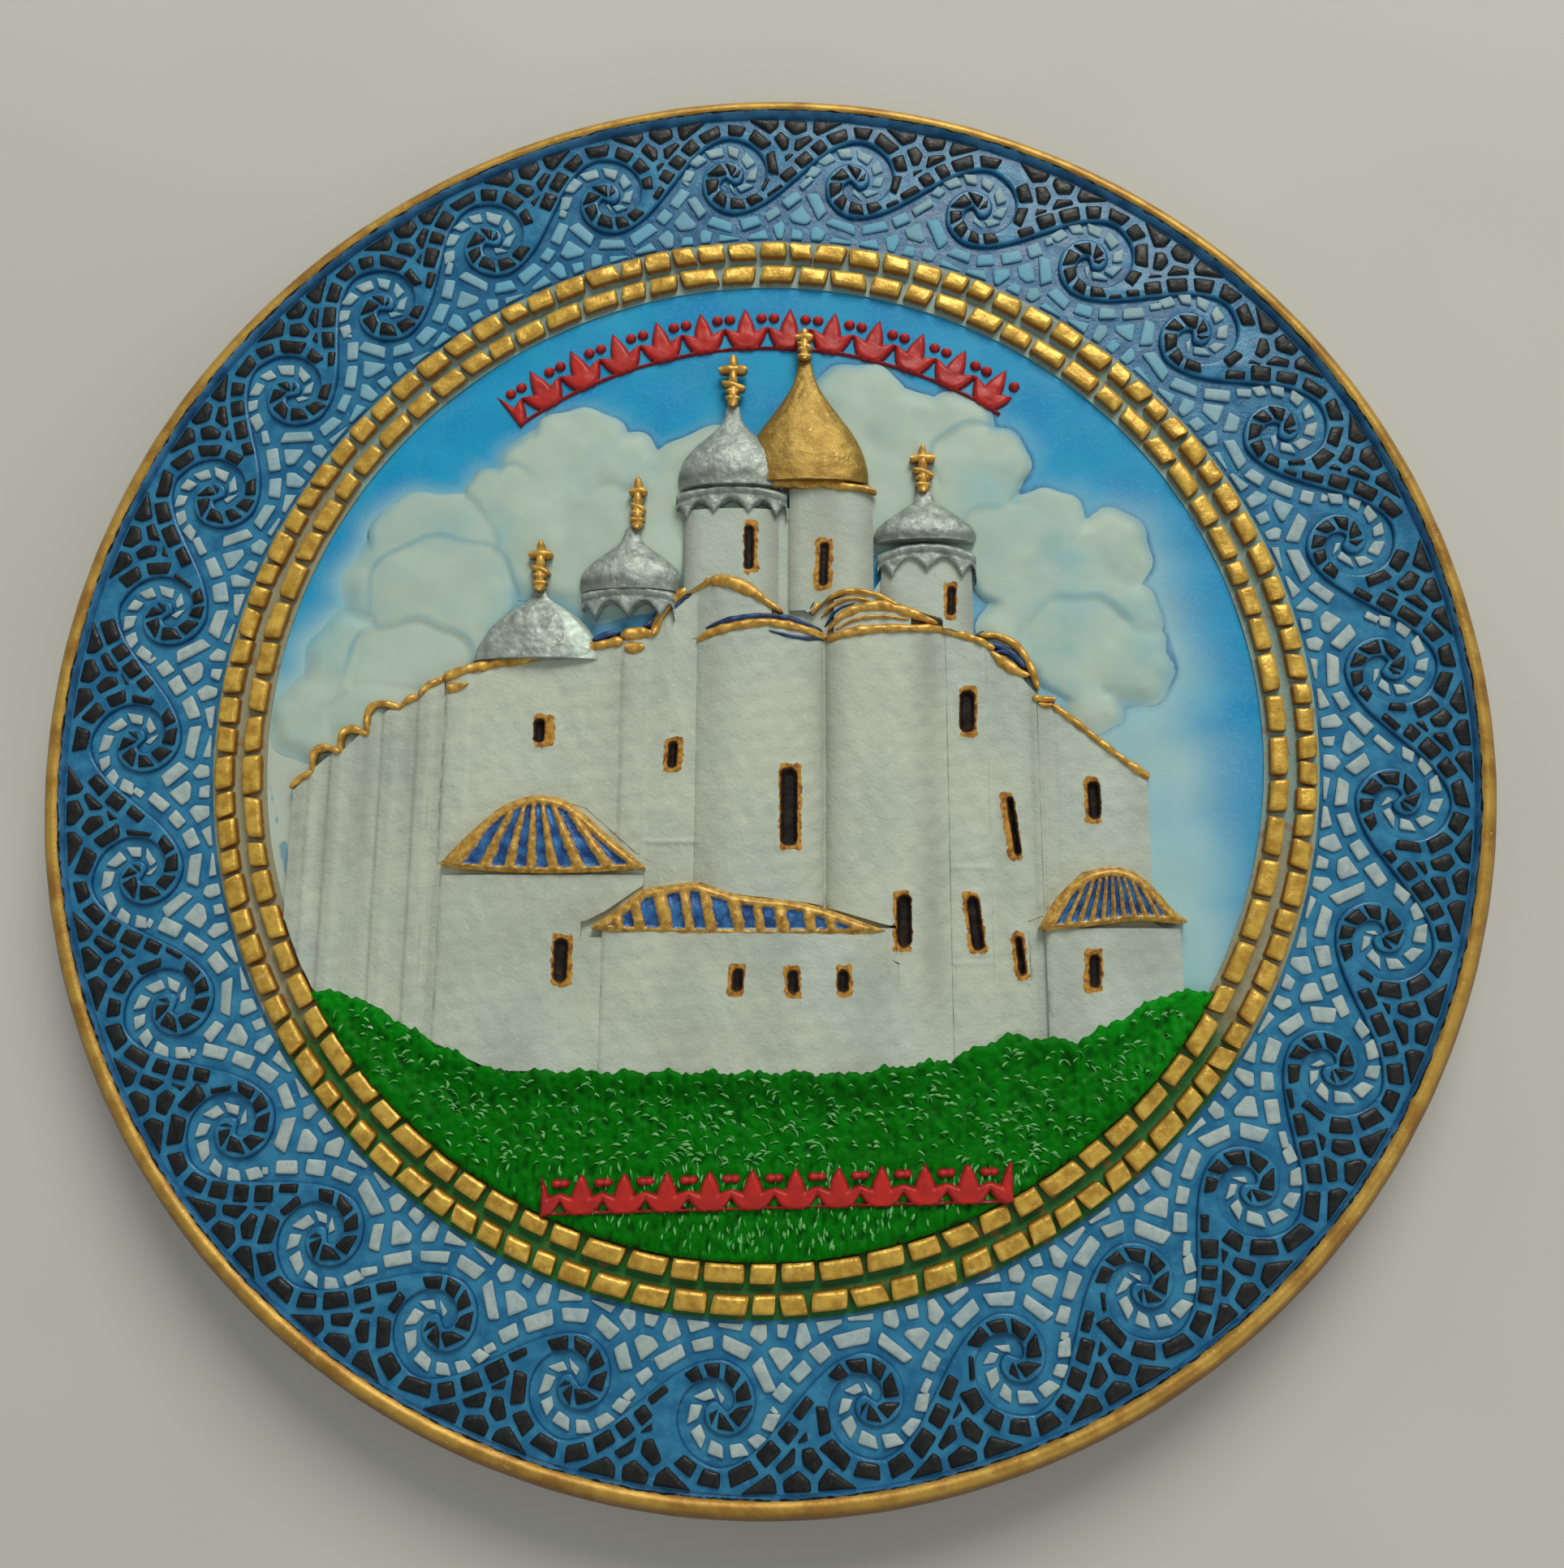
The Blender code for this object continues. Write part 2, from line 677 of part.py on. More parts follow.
def low_apses():
    """The three low rounded walls in front, each under its own roof."""
    lawn_line = lambda x: LAWN_TOP(x) + GAP
    chancel_ridge = through(LOW_ROOFS["chancel_roof"][1])
    beside = LOW_ROOFS["chancel_roof"][1][0][0] - ROOF_MARGIN - GAP
    foot = lambda x: lawn_line(x) if x <= beside else chancel_ridge(x) + FRAME_RISE + GAP
    xs = stations(-43.6, -16.0, 2.6, [beside, beside + 0.02] + LAWN_TURNS)
    wall = panel("north_apse", xs, foot, flat(-19.0 - 0.9), bulge(-47.0, -13.0, 2.0), WALL_BASE,
                 whitewash())
    windows(wall, WALL_Z - 0.4, [(-26.8, -31.3, 2.6, 6.8)])
    xs = stations(-21.4, 16.8, 2.9, LAWN_TURNS)
    wall = panel("chancel_apse", xs, lawn_line, flat(-28.4), bulge(-26.0, 21.5, 2.4), WALL_BASE,
                 whitewash())
    windows(wall, WALL_Z - 0.4, [(-2.7, -34.0, 2.2, 4.2), (4.6, -34.2, 2.2, 4.2),
                                 (11.4, -34.1, 2.0, 4.2)])
    xs = stations(38.9, 56.4, 2.5, LAWN_TURNS)
    wall = panel("south_low_apse", xs, lawn_line, flat(-27.9), bulge(35.5, 60.0, 2.0), WALL_BASE,
                 whitewash())
    windows(wall, WALL_Z - 0.4, [(44.9, -32.7, 2.3, 5.6)])


def roof_trims():
    """Raised gold lines along the roof edges."""
    tops = {
        "north_roof_trim": ROOF_NORTH,
        "north_gable_trim": ROOF_GABLE,
        "chancel_trim": ROOF_CHANCEL,
        "south_gable_trim": ROOF_SOUTH_GABLE,
        "south_roof_trim": ROOF_SOUTH,
    }
    for name, path in tops.items():
        ribbon(name, path, 2 * TRIM_HALF, WALL_BASE, TRIM_Z, gold())


# ---- picture: drums, domes and crosses ----------------------------------------------
def drums():
    xs = stations(-10.9, 2.2, 1.6, [-7.0, -2.0])
    wall = panel("great_drum", xs, above(ROOF_GABLE), flat(32.9), bulge(-12.0, 3.4, 1.8, DOME_BASE + 0.6),
                 DOME_BASE, whitewash())
    windows(wall, DOME_BASE + 0.5, [(-1.7, 27.6, 1.9, 8.0)])
    gable = above(ROOF_SOUTH_GABLE)
    foot = lambda x: gable(x) if x > 6.4 else 18.8
    xs = stations(4.3, 15.8, 1.6, [6.39, 6.41, 10.0, 14.0])
    wall = panel("gold_drum", xs, foot, flat(36.6), bulge(3.0, 17.0, 1.4, DOME_BASE + 0.5),
                 DOME_BASE, whitewash())
    windows(wall, DOME_BASE + 0.5, [(9.2, 25.0, 2.4, 7.6)])
    south = above(ROOF_SOUTH)
    foot = lambda x: max(gable(x), south(x)) if x < 25.6 else south(x)
    xs = stations(17.4, 29.8, 1.6, [19.0, 25.59, 25.61])
    wall = panel("south_drum", xs, foot, flat(25.2), bulge(15.8, 31.2, 1.6, DOME_BASE + 0.5),
                 DOME_BASE, whitewash())
    windows(wall, DOME_BASE + 0.5, [(26.7, 19.4, 1.8, 5.2)])


GREAT_DOME = [(7.6, 33.3), (7.8, 36.2), (7.4, 36.8), (7.9, 39.6), (7.2, 42.3), (5.6, 44.3),
              (3.6, 46.0), (2.0, 47.8), (1.1, 49.8)]
GOLD_DOME = [(9.4, 37.0), (9.2, 38.2), (8.8, 39.4), (8.6, 43.0), (7.2, 46.0), (5.0, 49.0),
             (3.0, 51.5), (1.5, 54.0), (0.9, 57.2)]
SOUTH_DOME = [(6.8, 25.6), (7.0, 27.6), (6.7, 28.1), (7.2, 30.0), (6.2, 32.6), (3.6, 34.4),
              (1.7, 35.4), (1.0, 36.2)]
NORTH_DOME = [(6.2, 17.6), (6.4, 20.8), (6.1, 21.3), (7.0, 23.4), (6.4, 25.6), (4.4, 27.8),
              (2.0, 29.4), (0.9, 31.0)]


def domes():
    depth = 0.38              # thickness of a dome over its half width
    half_turned("great_dome", -4.3, GREAT_DOME, DOME_BASE, depth, silver())
    gilt = paint("dome_gold", (214, 166, 58), 0.32, 0.85)
    golden = half_turned("gold_dome", 6.3, GOLD_DOME, DOME_BASE, depth * 0.8, gilt)
    left = [(-4.3 - width - 9.0, y) for width, y in GREAT_DOME[:-1]]
    right = [(-4.3 + width + GAP, y) for width, y in reversed(GREAT_DOME[:-1])]
    cut(golden, slab("great_dome_cutter", left + right, CUTTER_LOW, CUTTER_HIGH, gilt))
    half_turned("south_dome", 23.5, SOUTH_DOME, DOME_BASE, depth, silver())
    north = half_turned("north_dome", -18.7, NORTH_DOME, DOME_BASE, depth, silver())
    arch = above(ROOF_GABLE)
    outline = [(x, arch(x)) for x in (-17.0, -14.4, -12.5, -10.5, -8.0)] + [(-8.0, 8.0), (-17.0, 8.0)]
    cut(north, slab("north_gable_cutter", outline, CUTTER_LOW, CUTTER_HIGH, silver()))
    crown = through([(-40.3, 13.0), (-38.5, 16.4), (-36.0, 18.6), (-33.5, 20.2), (-32.2, 21.6),
                     (-31.2, 21.6), (-29.9, 20.2), (-27.4, 18.6), (-24.9, 16.4), (-23.2, 14.6)])
    xs = stations(-40.3, -23.6, 1.7, [-32.2, -31.2])
    panel("far_north_dome", xs, above(ROOF_NORTH), crown, bulge(-41.0, -22.4, 1.6, DOME_BASE + 0.5),
          DOME_BASE, silver())


def cross(name, x, y, height, width):
    """A cross with a straight upper arm and a slanted lower one."""
    post = 0.55               # half width of the post
    arm = 0.5 * width
    foot_arm = 0.36 * width
    top = y + height
    upper = top - 0.30 * height
    lower = y + 0.42 * height
    thick = 0.13 * height
    slant = 0.35
    half = [
        (-post, lower - slant + 0.2), (-foot_arm, lower + slant), (-foot_arm, lower + slant + thick),
        (-post, lower + thick), (-post, upper), (-arm, upper), (-arm, upper + thick),
        (-post, upper + thick), (-post, top),
    ]
    other = [
        (post, top), (post, upper + thick), (arm, upper + thick), (arm, upper), (post, upper),
        (post, lower + thick), (foot_arm, lower - slant + thick), (foot_arm, lower - slant),
        (post, lower - slant),
    ]
    outline = [(-0.8, 0.0 + y)] + half + other + [(0.8, 0.0 + y)]
    outline = [(x + dx, dy) for dx, dy in outline]
    slab(name, outline, DOME_BASE, DOME_BASE + 1.1, gold())


def crosses():
    cross("great_cross", -4.3, 50.1, 7.6, 4.2)
    cross("gold_cross", 6.2, 57.5, 4.4, 2.6)
    cross("south_cross", 23.3, 36.5, 6.6, 3.6)
    cross("north_cross", -17.9, 31.3, 7.2, 2.6)
    cross("far_north_cross", -31.7, 21.9, 7.0, 3.4)


# ---- ornament where the real plate carries lettering ---------------------------------
def garland(name, count, place, base, thickness):
    """A red stem with a diamond leaf at every step; place(t, side) gives plan points."""
    stem = 0.55
    leaf = 2.2
    upper = []
    lower = []
    for k in range(count):
        middle = (k + 0.5) / count
        reach = 0.32 / count
        upper += [place(middle - reach, stem), place(middle, leaf), place(middle + reach, stem)]
        lower += [place(middle - reach, -stem), place(middle, -leaf), place(middle + reach, -stem)]
    outline = upper + lower[::-1]
    slab(name, outline, base, base + thickness, red_enamel())


def garlands():
    def over_sky(t, side):
        angle = math.radians(128.5 - 75.5 * t)
        return polar(62.6 + side, angle)

    def over_lawn(t, side):
        return (-29.5 + 64.0 * t, -62.3 + 2.2 * t + 0.9 * side)

    garland("upper_garland", 13, over_sky, WALL_BASE, 0.6)
    garland("lower_garland", 12, over_lawn, LAWN_Z + GAP, 0.8)


def build():
    clear_scene()
    plate_body()
    rim_lip()
    hanging_loop()
    border()
    brick_ring("outer_brick_row", OUTER_BRICK_RADII, OUTER_BRICKS, OUTER_BRICK_Z)
    brick_ring("inner_brick_row", INNER_BRICK_RADII, INNER_BRICKS, INNER_BRICK_Z)
    sky_disc()
    cloud_bank()
    lawn()
    for roof in LOW_ROOFS:
        low_roof(roof)
    walls()
    gables()
    low_apses()
    roof_trims()
    drums()
    domes()
    crosses()
    garlands()


build()
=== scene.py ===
import math
import random

import bpy
import numpy as np
from mathutils import Matrix, Vector
from mathutils.geometry import tessellate_polygon


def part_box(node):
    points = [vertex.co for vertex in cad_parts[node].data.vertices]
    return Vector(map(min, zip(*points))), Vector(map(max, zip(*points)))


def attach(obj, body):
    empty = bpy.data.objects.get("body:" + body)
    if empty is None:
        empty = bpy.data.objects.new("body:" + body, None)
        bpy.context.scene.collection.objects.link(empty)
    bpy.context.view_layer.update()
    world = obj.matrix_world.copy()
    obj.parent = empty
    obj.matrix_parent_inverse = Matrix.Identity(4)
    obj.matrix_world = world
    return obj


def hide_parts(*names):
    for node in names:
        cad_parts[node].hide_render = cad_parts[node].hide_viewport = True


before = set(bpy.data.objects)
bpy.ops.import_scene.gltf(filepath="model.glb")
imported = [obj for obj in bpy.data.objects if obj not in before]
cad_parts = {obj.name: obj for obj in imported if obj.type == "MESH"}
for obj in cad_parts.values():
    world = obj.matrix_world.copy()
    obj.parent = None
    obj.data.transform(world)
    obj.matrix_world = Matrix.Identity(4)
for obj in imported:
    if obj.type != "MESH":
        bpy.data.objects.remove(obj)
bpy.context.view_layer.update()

# The looks of the souvenir relief plate.  Plan places are millimetres in the frame of the
# CAD model (+X right, +Y top of the picture, +Z up); heights and limits are read from it.
MM = 0.001
DICE = random.Random(29)


# ---- reading the frame --------------------------------------------------------------
def span(node):
    """(low corner, high corner) of a CAD node in millimetres."""
    low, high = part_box(node)
    return low / MM, high / MM


def top_of(node):
    return span(node)[1].z


def node_points(node):
    """All vertices of a CAD node in millimetres, as an array of rows."""
    return np.array([v.co[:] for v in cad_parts[node].data.vertices]) / MM


def radii_of(node):
    """(smallest, largest) distance of a CAD node's vertices from the plate's axis."""
    points = node_points(node)
    reach = np.hypot(points[:, 0], points[:, 1])
    return reach.min(), reach.max()


LIP_INNER, LIP_OUTER = radii_of("rim_lip")
LIP_CREST = top_of("rim_lip")
FIELD_INNER, FIELD_OUTER = radii_of("border_light_field")
WAVE_OUTER = radii_of("border_dark_waves")[1]
LIGHT_Z = top_of("border_light_field")
SKY_Z = top_of("sky_disc")
SKY_RADIUS = radii_of("sky_disc")[1]

# ---- the running waves: the same line as in the CAD model ---------------------------
WAVES = 29
WAVE_PHASE = math.radians(6.35)
EYE_RADIUS = 88.0
WAVE_TOP = 7.0              # reach of the light coil above its eye, and what a quarter turn takes off
TOP_COIL = 1.9
WAVE_DIP = 5.9              # the same of the dark coil, below its eye
DIP_COIL = 1.35
PLATEAU_Z = LIGHT_Z + 0.7   # face of the dark field under its tesserae
GROUND_BASE = LIGHT_Z - 0.5
RING_STEPS = 720


# ---- small geometry helpers ---------------------------------------------------------
def polar(radius, angle):
    return (radius * math.cos(angle), radius * math.sin(angle))


def smooth(low, high, value):
    """Smooth step of a number or an array."""
    t = np.clip((value - low) / (high - low), 0.0, 1.0)
    return t * t * (3.0 - 2.0 * t)


def added(name, data):
    """A new object of the scene."""
    item = bpy.data.objects.new(name, data)
    bpy.context.scene.collection.objects.link(item)
    return item


def id_rows(start, length, count):
    """Numbers of count rows of length points each, the first one from start on."""
    return [list(range(start + k * length, start + (k + 1) * length)) for k in range(count)]


def skin(rows, closed=True, flipped=False):
    """Quads between each row of point numbers and the next; closed rows are rings."""
    faces = []
    end = 1 if closed else 0
    for first, second in zip(rows, rows[1:]):
        corners = [first, first[1:] + first[:end], second[1:] + second[:end], second]
        if flipped:
            corners = [corners[0], *corners[:0:-1]]
        faces += zip(*corners)
    return faces


def ring(radius, steps):
    """Plan points evenly round the plate's axis."""
    return [polar(radius, 2 * math.pi * k / steps) for k in range(steps)]


def make_piece(name, points, faces, material, nodes=(), marks=None, sharp=50):
    """Link a mesh given in millimetres as a piece that rides on the plate."""
    mesh = bpy.data.meshes.new(name)
    mesh.from_pydata((np.asarray(points, float) * MM).tolist(), [], faces)
    mesh.validate()
    for mark, values in (marks or {}).items():
        layer = mesh.attributes.new(mark, "FLOAT", "POINT")
        layer.data.foreach_set("value", np.asarray(values, np.float32))
    mesh.shade_smooth()
    mesh.set_sharp_from_angle(angle=math.radians(sharp))
    mesh.materials.append(material)
    piece = added(name, mesh)
    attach(piece, "root")
    if nodes:
        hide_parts(*nodes)


def lathe(section, steps, wobble=None):
    """Points and quads of a closed (radius, z) section turned about Z."""
    section = np.asarray(section, float)
    angles = np.arange(steps) * 2 * math.pi / steps
    radius = np.repeat(section[None, :, 0], steps, 0)
    height = np.repeat(section[None, :, 1], steps, 0)
    turn = np.repeat(angles[:, None], len(section), 1)
    if wobble:
        out, up = wobble(turn, radius, height)
        radius = radius + out
        height = height + up
    points = np.stack([radius * np.cos(turn), radius * np.sin(turn), height], -1)
    count = len(section)
    k = np.arange(count)
    n = (k + 1) % count
    faces = []
    for step in range(steps):
        here = step * count
        after = (step + 1) % steps * count
        faces += np.stack([here + k, after + k, after + n, here + n], -1).tolist()
    return points.reshape(-1, 3), faces, turn.ravel(), radius.ravel()


def ripple(turn, amount, lobes, seed):
    """A smooth closed wobble round the plate made of a few sines."""
    dice = random.Random(seed)
    total = np.zeros_like(turn)
    for lobe in lobes:
        total += np.sin(lobe * turn + dice.uniform(0, 2 * math.pi)) * dice.uniform(0.5, 1.0)
    return amount * total / len(lobes)


# ---- materials ----------------------------------------------------------------------
def linear(rgb):
    """An sRGB colour (0-255) as the linear RGBA that shader sockets take."""
    out = []
    for channel in rgb:
        value = channel / 255.0
        out.append(value / 12.92 if value <= 0.04045 else ((value + 0.055) / 1.055) ** 2.4)
    return (*out, 1.0)


class Paint:
    """A Principled material and short calls that add nodes to it."""

    def __init__(self, name, roughness=0.5, metallic=0.0, specular=0.5):
        self.material = bpy.data.materials.new(name)
        self.material.use_nodes = True
        self.tree = self.material.node_tree
        self.shader = self.tree.nodes["Principled BSDF"]
        self.shader.inputs["Roughness"].default_value = roughness
        self.shader.inputs["Metallic"].default_value = metallic
        self.shader.inputs["Specular IOR Level"].default_value = specular
        self.place = self.tree.nodes.new("ShaderNodeTexCoord").outputs["Object"]

    def link(self, value, socket):
        if isinstance(value, bpy.types.NodeSocket):
            self.tree.links.new(value, socket)
        else:
            socket.default_value = value

    def mark(self, name):
        """A value painted on the mesh's points."""
        node = self.tree.nodes.new("ShaderNodeAttribute")
        node.attribute_name = name
        return node.outputs["Fac"]

    def noise(self, size, detail=3.0, rough=0.5, stretch=None, seed=0.0):
        """Noise from 0 to 1 whose blots are about size millimetres across."""
        mapping = self.tree.nodes.new("ShaderNodeMapping")
        mapping.inputs["Scale"].default_value = stretch or (1, 1, 1)
        mapping.inputs["Location"].default_value = (seed, seed * 0.7, seed * 0.3)
        self.tree.links.new(self.place, mapping.inputs["Vector"])
        node = self.tree.nodes.new("ShaderNodeTexNoise")
        node.inputs["Scale"].default_value = 1.0 / (size * MM)
        node.inputs["Detail"].default_value = detail
        node.inputs["Roughness"].default_value = rough
        self.tree.links.new(mapping.outputs["Vector"], node.inputs["Vector"])
        return node.outputs["Fac"]

    def cells(self, size, feature="F1"):
        node = self.tree.nodes.new("ShaderNodeTexVoronoi")
        node.feature = feature
        node.inputs["Scale"].default_value = 1.0 / (size * MM)
        self.tree.links.new(self.place, node.inputs["Vector"])
        return node.outputs["Distance"]

    def math(self, operation, a, b=0.0, clamp=False):
        node = self.tree.nodes.new("ShaderNodeMath")
        node.operation = operation
        node.use_clamp = clamp
        self.link(a, node.inputs[0])
        self.link(b, node.inputs[1])
        return node.outputs[0]

    def step(self, value, low, high):
        """Smooth step of a socket between low and high."""
        node = self.tree.nodes.new("ShaderNodeMapRange")
        node.interpolation_type = "SMOOTHSTEP"
        node.inputs["From Min"].default_value = low
        node.inputs["From Max"].default_value = high
        self.link(value, node.inputs["Value"])
        return node.outputs["Result"]

    def ragged(self, value, blur, roam, size=0.5):
        """Smooth step of a socket round 0 whose edge strays by roam."""
        stray = self.math("MULTIPLY", self.math("SUBTRACT", self.noise(size, 4.0), 0.5), 2 * roam)
        return self.step(self.math("ADD", value, stray), -blur, blur)

    def blend(self, share, a, b):
        """From colour a (share 0) to colour b (share 1)."""
        node = self.tree.nodes.new("ShaderNodeMix")
        node.data_type = "RGBA"
        self.link(share, node.inputs["Factor"])
        self.link(a if isinstance(a, bpy.types.NodeSocket) else linear(a), node.inputs[6])
        self.link(b if isinstance(b, bpy.types.NodeSocket) else linear(b), node.inputs[7])
        return node.outputs[2]

    def tint(self, a, b, share, strength):
        """Colour a with b over it, at most strength of b."""
        return self.blend(self.math("MULTIPLY", share, strength), a, b)

    def mottle(self, a, b, low, high, size, detail=3.0, rough=0.5, seed=0.0, strength=None):
        """Colour a with blots of b where noise rises from low to high."""
        blots = self.step(self.noise(size, detail, rough, seed=seed), low, high)
        return self.blend(blots, a, b) if strength is None else self.tint(a, b, blots, strength)

    def cover(self, level, blur, roam, size):
        """Where the top coat covers: a ragged edge at a level of the mark "paint"."""
        return self.ragged(self.math("SUBTRACT", self.mark("paint"), level), blur, roam, size)

    def finish(self, colour, grain=(), rough=None):
        """Wire the colour, bumps as (height socket, strength, depth mm), and roughness."""
        self.tree.links.new(colour, self.shader.inputs["Base Color"])
        if rough is not None:
            self.tree.links.new(rough, self.shader.inputs["Roughness"])
        normal = None
        for height, strength, depth in grain:
            node = self.tree.nodes.new("ShaderNodeBump")
            node.inputs["Strength"].default_value = strength
            node.inputs["Distance"].default_value = depth * MM
            self.tree.links.new(height, node.inputs["Height"])
            if normal is not None:
                self.tree.links.new(normal, node.inputs["Normal"])
            normal = node.outputs["Normal"]
        if normal is not None:
            self.tree.links.new(normal, self.shader.inputs["Normal"])
        return self.material


# Colours are sRGB, 0 to 255.
# The darkest blue: painted shade in the border's hollows, and darker airbrushed blue towards the top.
SHADE_AND_AIRBRUSH_BLUE = (8, 54, 108)
CHALK = (190, 204, 198)
CYAN = (98, 174, 204)
PALE_GOLD = (236, 204, 120)
BRIGHT_GOLD = (250, 222, 146)


def border_ground():
    """Blue paint of the border: darker airbrushed blue towards the top, and painted shade in the hollows.
    """
    p = Paint("border_ground", 0.42, specular=0.3)
    base = p.mottle((36, 110, 154), (58, 138, 178), 0.35, 0.65, 3.0)
    base = p.tint(base, SHADE_AND_AIRBRUSH_BLUE, p.mark("shade_and_airbrush"), 0.85)
    base = p.mottle(base, (104, 166, 196), 0.58, 0.78, 1.1, 4.0, 0.6, seed=3.0, strength=0.5)
    base = p.mottle(base, (150, 170, 176), 0.66, 0.75, 5.0, 5.0, 0.7, seed=8.0, strength=0.25)
    rough = p.step(p.noise(2.0), 0.0, 1.6)
    return p.finish(base, [(p.noise(0.5, 4.0, 0.6), 0.25, 0.15), (p.noise(2.5), 0.3, 0.25)], rough)


def light_tiles_paint():
    """Chalk white tesserae whose flanks show the blue ground."""
    p = Paint("light_tesserae", 0.55, specular=0.25)
    white = p.mottle(CHALK, (160, 180, 184), 0.3, 0.75, 1.4)
    white = p.tint(white, CYAN, p.mark("tint"), 0.9)
    white = p.tint(white, (150, 160, 152), p.step(p.mark("tone"), 0.6, 1.0), 0.25)
    white = p.mottle(white, (110, 128, 132), 0.64, 0.72, 0.35, 2.0, strength=0.35)
    colour = p.blend(p.cover(0.35, 0.1, 0.22, 0.7), (48, 112, 156), white)
    return p.finish(colour, [(p.noise(0.6, 4.0), 0.3, 0.12), (p.noise(1.8), 0.35, 0.2)])


def dark_tiles_paint():
    """Glossy near-black tesserae with dusty blue edges."""
    p = Paint("dark_tesserae", 0.32, specular=0.35)
    black = p.mottle((14, 16, 17), (30, 34, 33), 0.3, 0.7, 1.6)
    black = p.tint(black, (44, 40, 34), p.step(p.mark("tone"), 0.5, 1.0), 0.3)
    black = p.mottle(black, (120, 140, 150), 0.62, 0.74, 0.9, 5.0, 0.7, strength=0.22)
    colour = p.blend(p.cover(0.16, 0.1, 0.2, 0.7), (52, 112, 150), black)
    rough = p.step(p.noise(1.2, 3.0), -0.5, 1.6)
    return p.finish(colour, [(p.noise(0.7, 3.0), 0.4, 0.2), (p.noise(2.0), 0.5, 0.35)], rough)


def brick_gold():
    """Brushed gold paint over the colour of the joints, with painted shade down the sides of each brick."""
    p = Paint("brick_gold", 0.36, 0.35)
    gold = p.mottle((238, 194, 82), (196, 148, 52), 0.3, 0.7, 1.5)
    gold = p.mottle(gold, PALE_GOLD, 0.55, 0.75, 0.7, 4.0, 0.6, seed=2.0)
    # Painted shade: browner down the sides of each brick, where its dome falls away.
    gold = p.blend(p.step(p.mark("paint"), 0.98, 0.6), gold, (150, 98, 34))
    colour = p.blend(p.cover(0.3, 0.12, 0.3, 0.8), joint_colours(p), gold)
    return p.finish(colour, [(p.noise(0.6, 4.0), 0.35, 0.15), (p.noise(2.0), 0.45, 0.3)])


def joint_colours(p):
    """Grey blue at the top, brown at the sides and green at the bottom."""
    mix = p.blend(p.ragged(p.mark("north"), 0.12, 0.3, 6.0), (158, 154, 124), (140, 166, 156))
    mix = p.blend(p.ragged(p.mark("south"), 0.12, 0.3, 6.0), mix, (14, 104, 26))
    return p.mottle(mix, (150, 94, 36), 0.57, 0.7, 2.0, 5.0, strength=0.6)


def joint_ground():
    p = Paint("brick_bed", 0.5)
    return p.finish(joint_colours(p), [(p.noise(0.8, 4.0), 0.4, 0.2)])


def lip_gold():
    """Gold leaf paint on the lip, browner outside as painted shade, worn and ragged along its inner edge,
    with a thin painted shadow line at its foot.
    """
    p = Paint("lip_gold", 0.45, 0.4)
    gold = p.mottle((206, 164, 72), (166, 120, 46), 0.35, 0.7, 4.0, 4.0)
    gold = p.mottle(gold, (240, 212, 140), 0.6, 0.8, 0.9, 5.0, 0.65, seed=5.0)
    # Painted shade on the outer flank, strongest at the bottom.
    gold = p.tint(gold, (112, 66, 26), p.mark("flank_shade"), 0.85)
    gold = p.mottle(gold, (128, 62, 34), 0.66, 0.72, 1.6, 5.0, 0.7, seed=1.0, strength=0.6)
    inner = p.mottle((74, 142, 190), (44, 104, 152), 0.4, 0.65, 4.0, 4.0, seed=4.0)
    # A thin painted shadow line in near black at the foot of the lip, just inside the gold.
    inner = p.blend(p.ragged(p.math("ADD", p.mark("leaf"), 0.12), 0.06, 0.3, 1.4), inner, (18, 20, 22))
    cover = p.ragged(p.mark("leaf"), 0.05, 0.28, 2.0)
    colour = p.blend(cover, inner, gold)
    return p.finish(colour, [(p.noise(0.8, 4.0), 0.3, 0.15), (p.noise(5.0, 3.0), 0.5, 0.4)])


def bare_casting():
    """Unpainted cast back with pinholes, faint mould marks and stray paint."""
    p = Paint("bare_casting", 0.85)
    base = p.mottle((214, 208, 192), (196, 188, 170), 0.3, 0.7, 14.0, 5.0)
    base = p.mottle(base, (170, 158, 136), 0.66, 0.74, 2.4, 6.0, 0.7, seed=6.0)
    holes = p.step(p.cells(2.2), 0.0, 0.12)
    # Painted shade: darker in the pinholes.
    base = p.blend(p.math("SUBTRACT", 1.0, holes), base, (120, 110, 96))
    rim = p.ragged(p.mark("rim"), 0.6, 2.4, 5.0)
    base = p.tint(base, (168, 124, 54), rim, 0.8)
    grain = [(holes, 0.6, 0.3), (p.noise(0.7, 5.0), 0.3, 0.15), (p.noise(9.0, 3.0), 0.4, 0.6)]
    return p.finish(base, grain)


def galvanised():
    p = Paint("galvanised_wire", 0.38, 0.9)
    zinc = p.mottle((150, 152, 154), (108, 110, 112), 0.3, 0.7, 1.6, 4.0)
    zinc = p.mottle(zinc, (116, 78, 52), 0.66, 0.76, 2.2, 5.0, 0.7, seed=2.0, strength=0.5)
    return p.finish(zinc, [(p.noise(0.4, 3.0), 0.3, 0.08)])


def plain_floor():
    p = Paint("floor", 0.9)
    base = p.mottle((214, 212, 205), (208, 206, 199), 0.3, 0.7, 120.0, 3.0)
    return p.finish(base, [(p.noise(0.8, 3.0), 0.05, 0.1)])


# ---- the wave line ------------------------------------------------------------------
def by_eye(along, up):
    """A plan point beside the first wave's eye: along the border and outwards."""
    return polar(EYE_RADIUS + up, WAVE_PHASE - along / EYE_RADIUS)


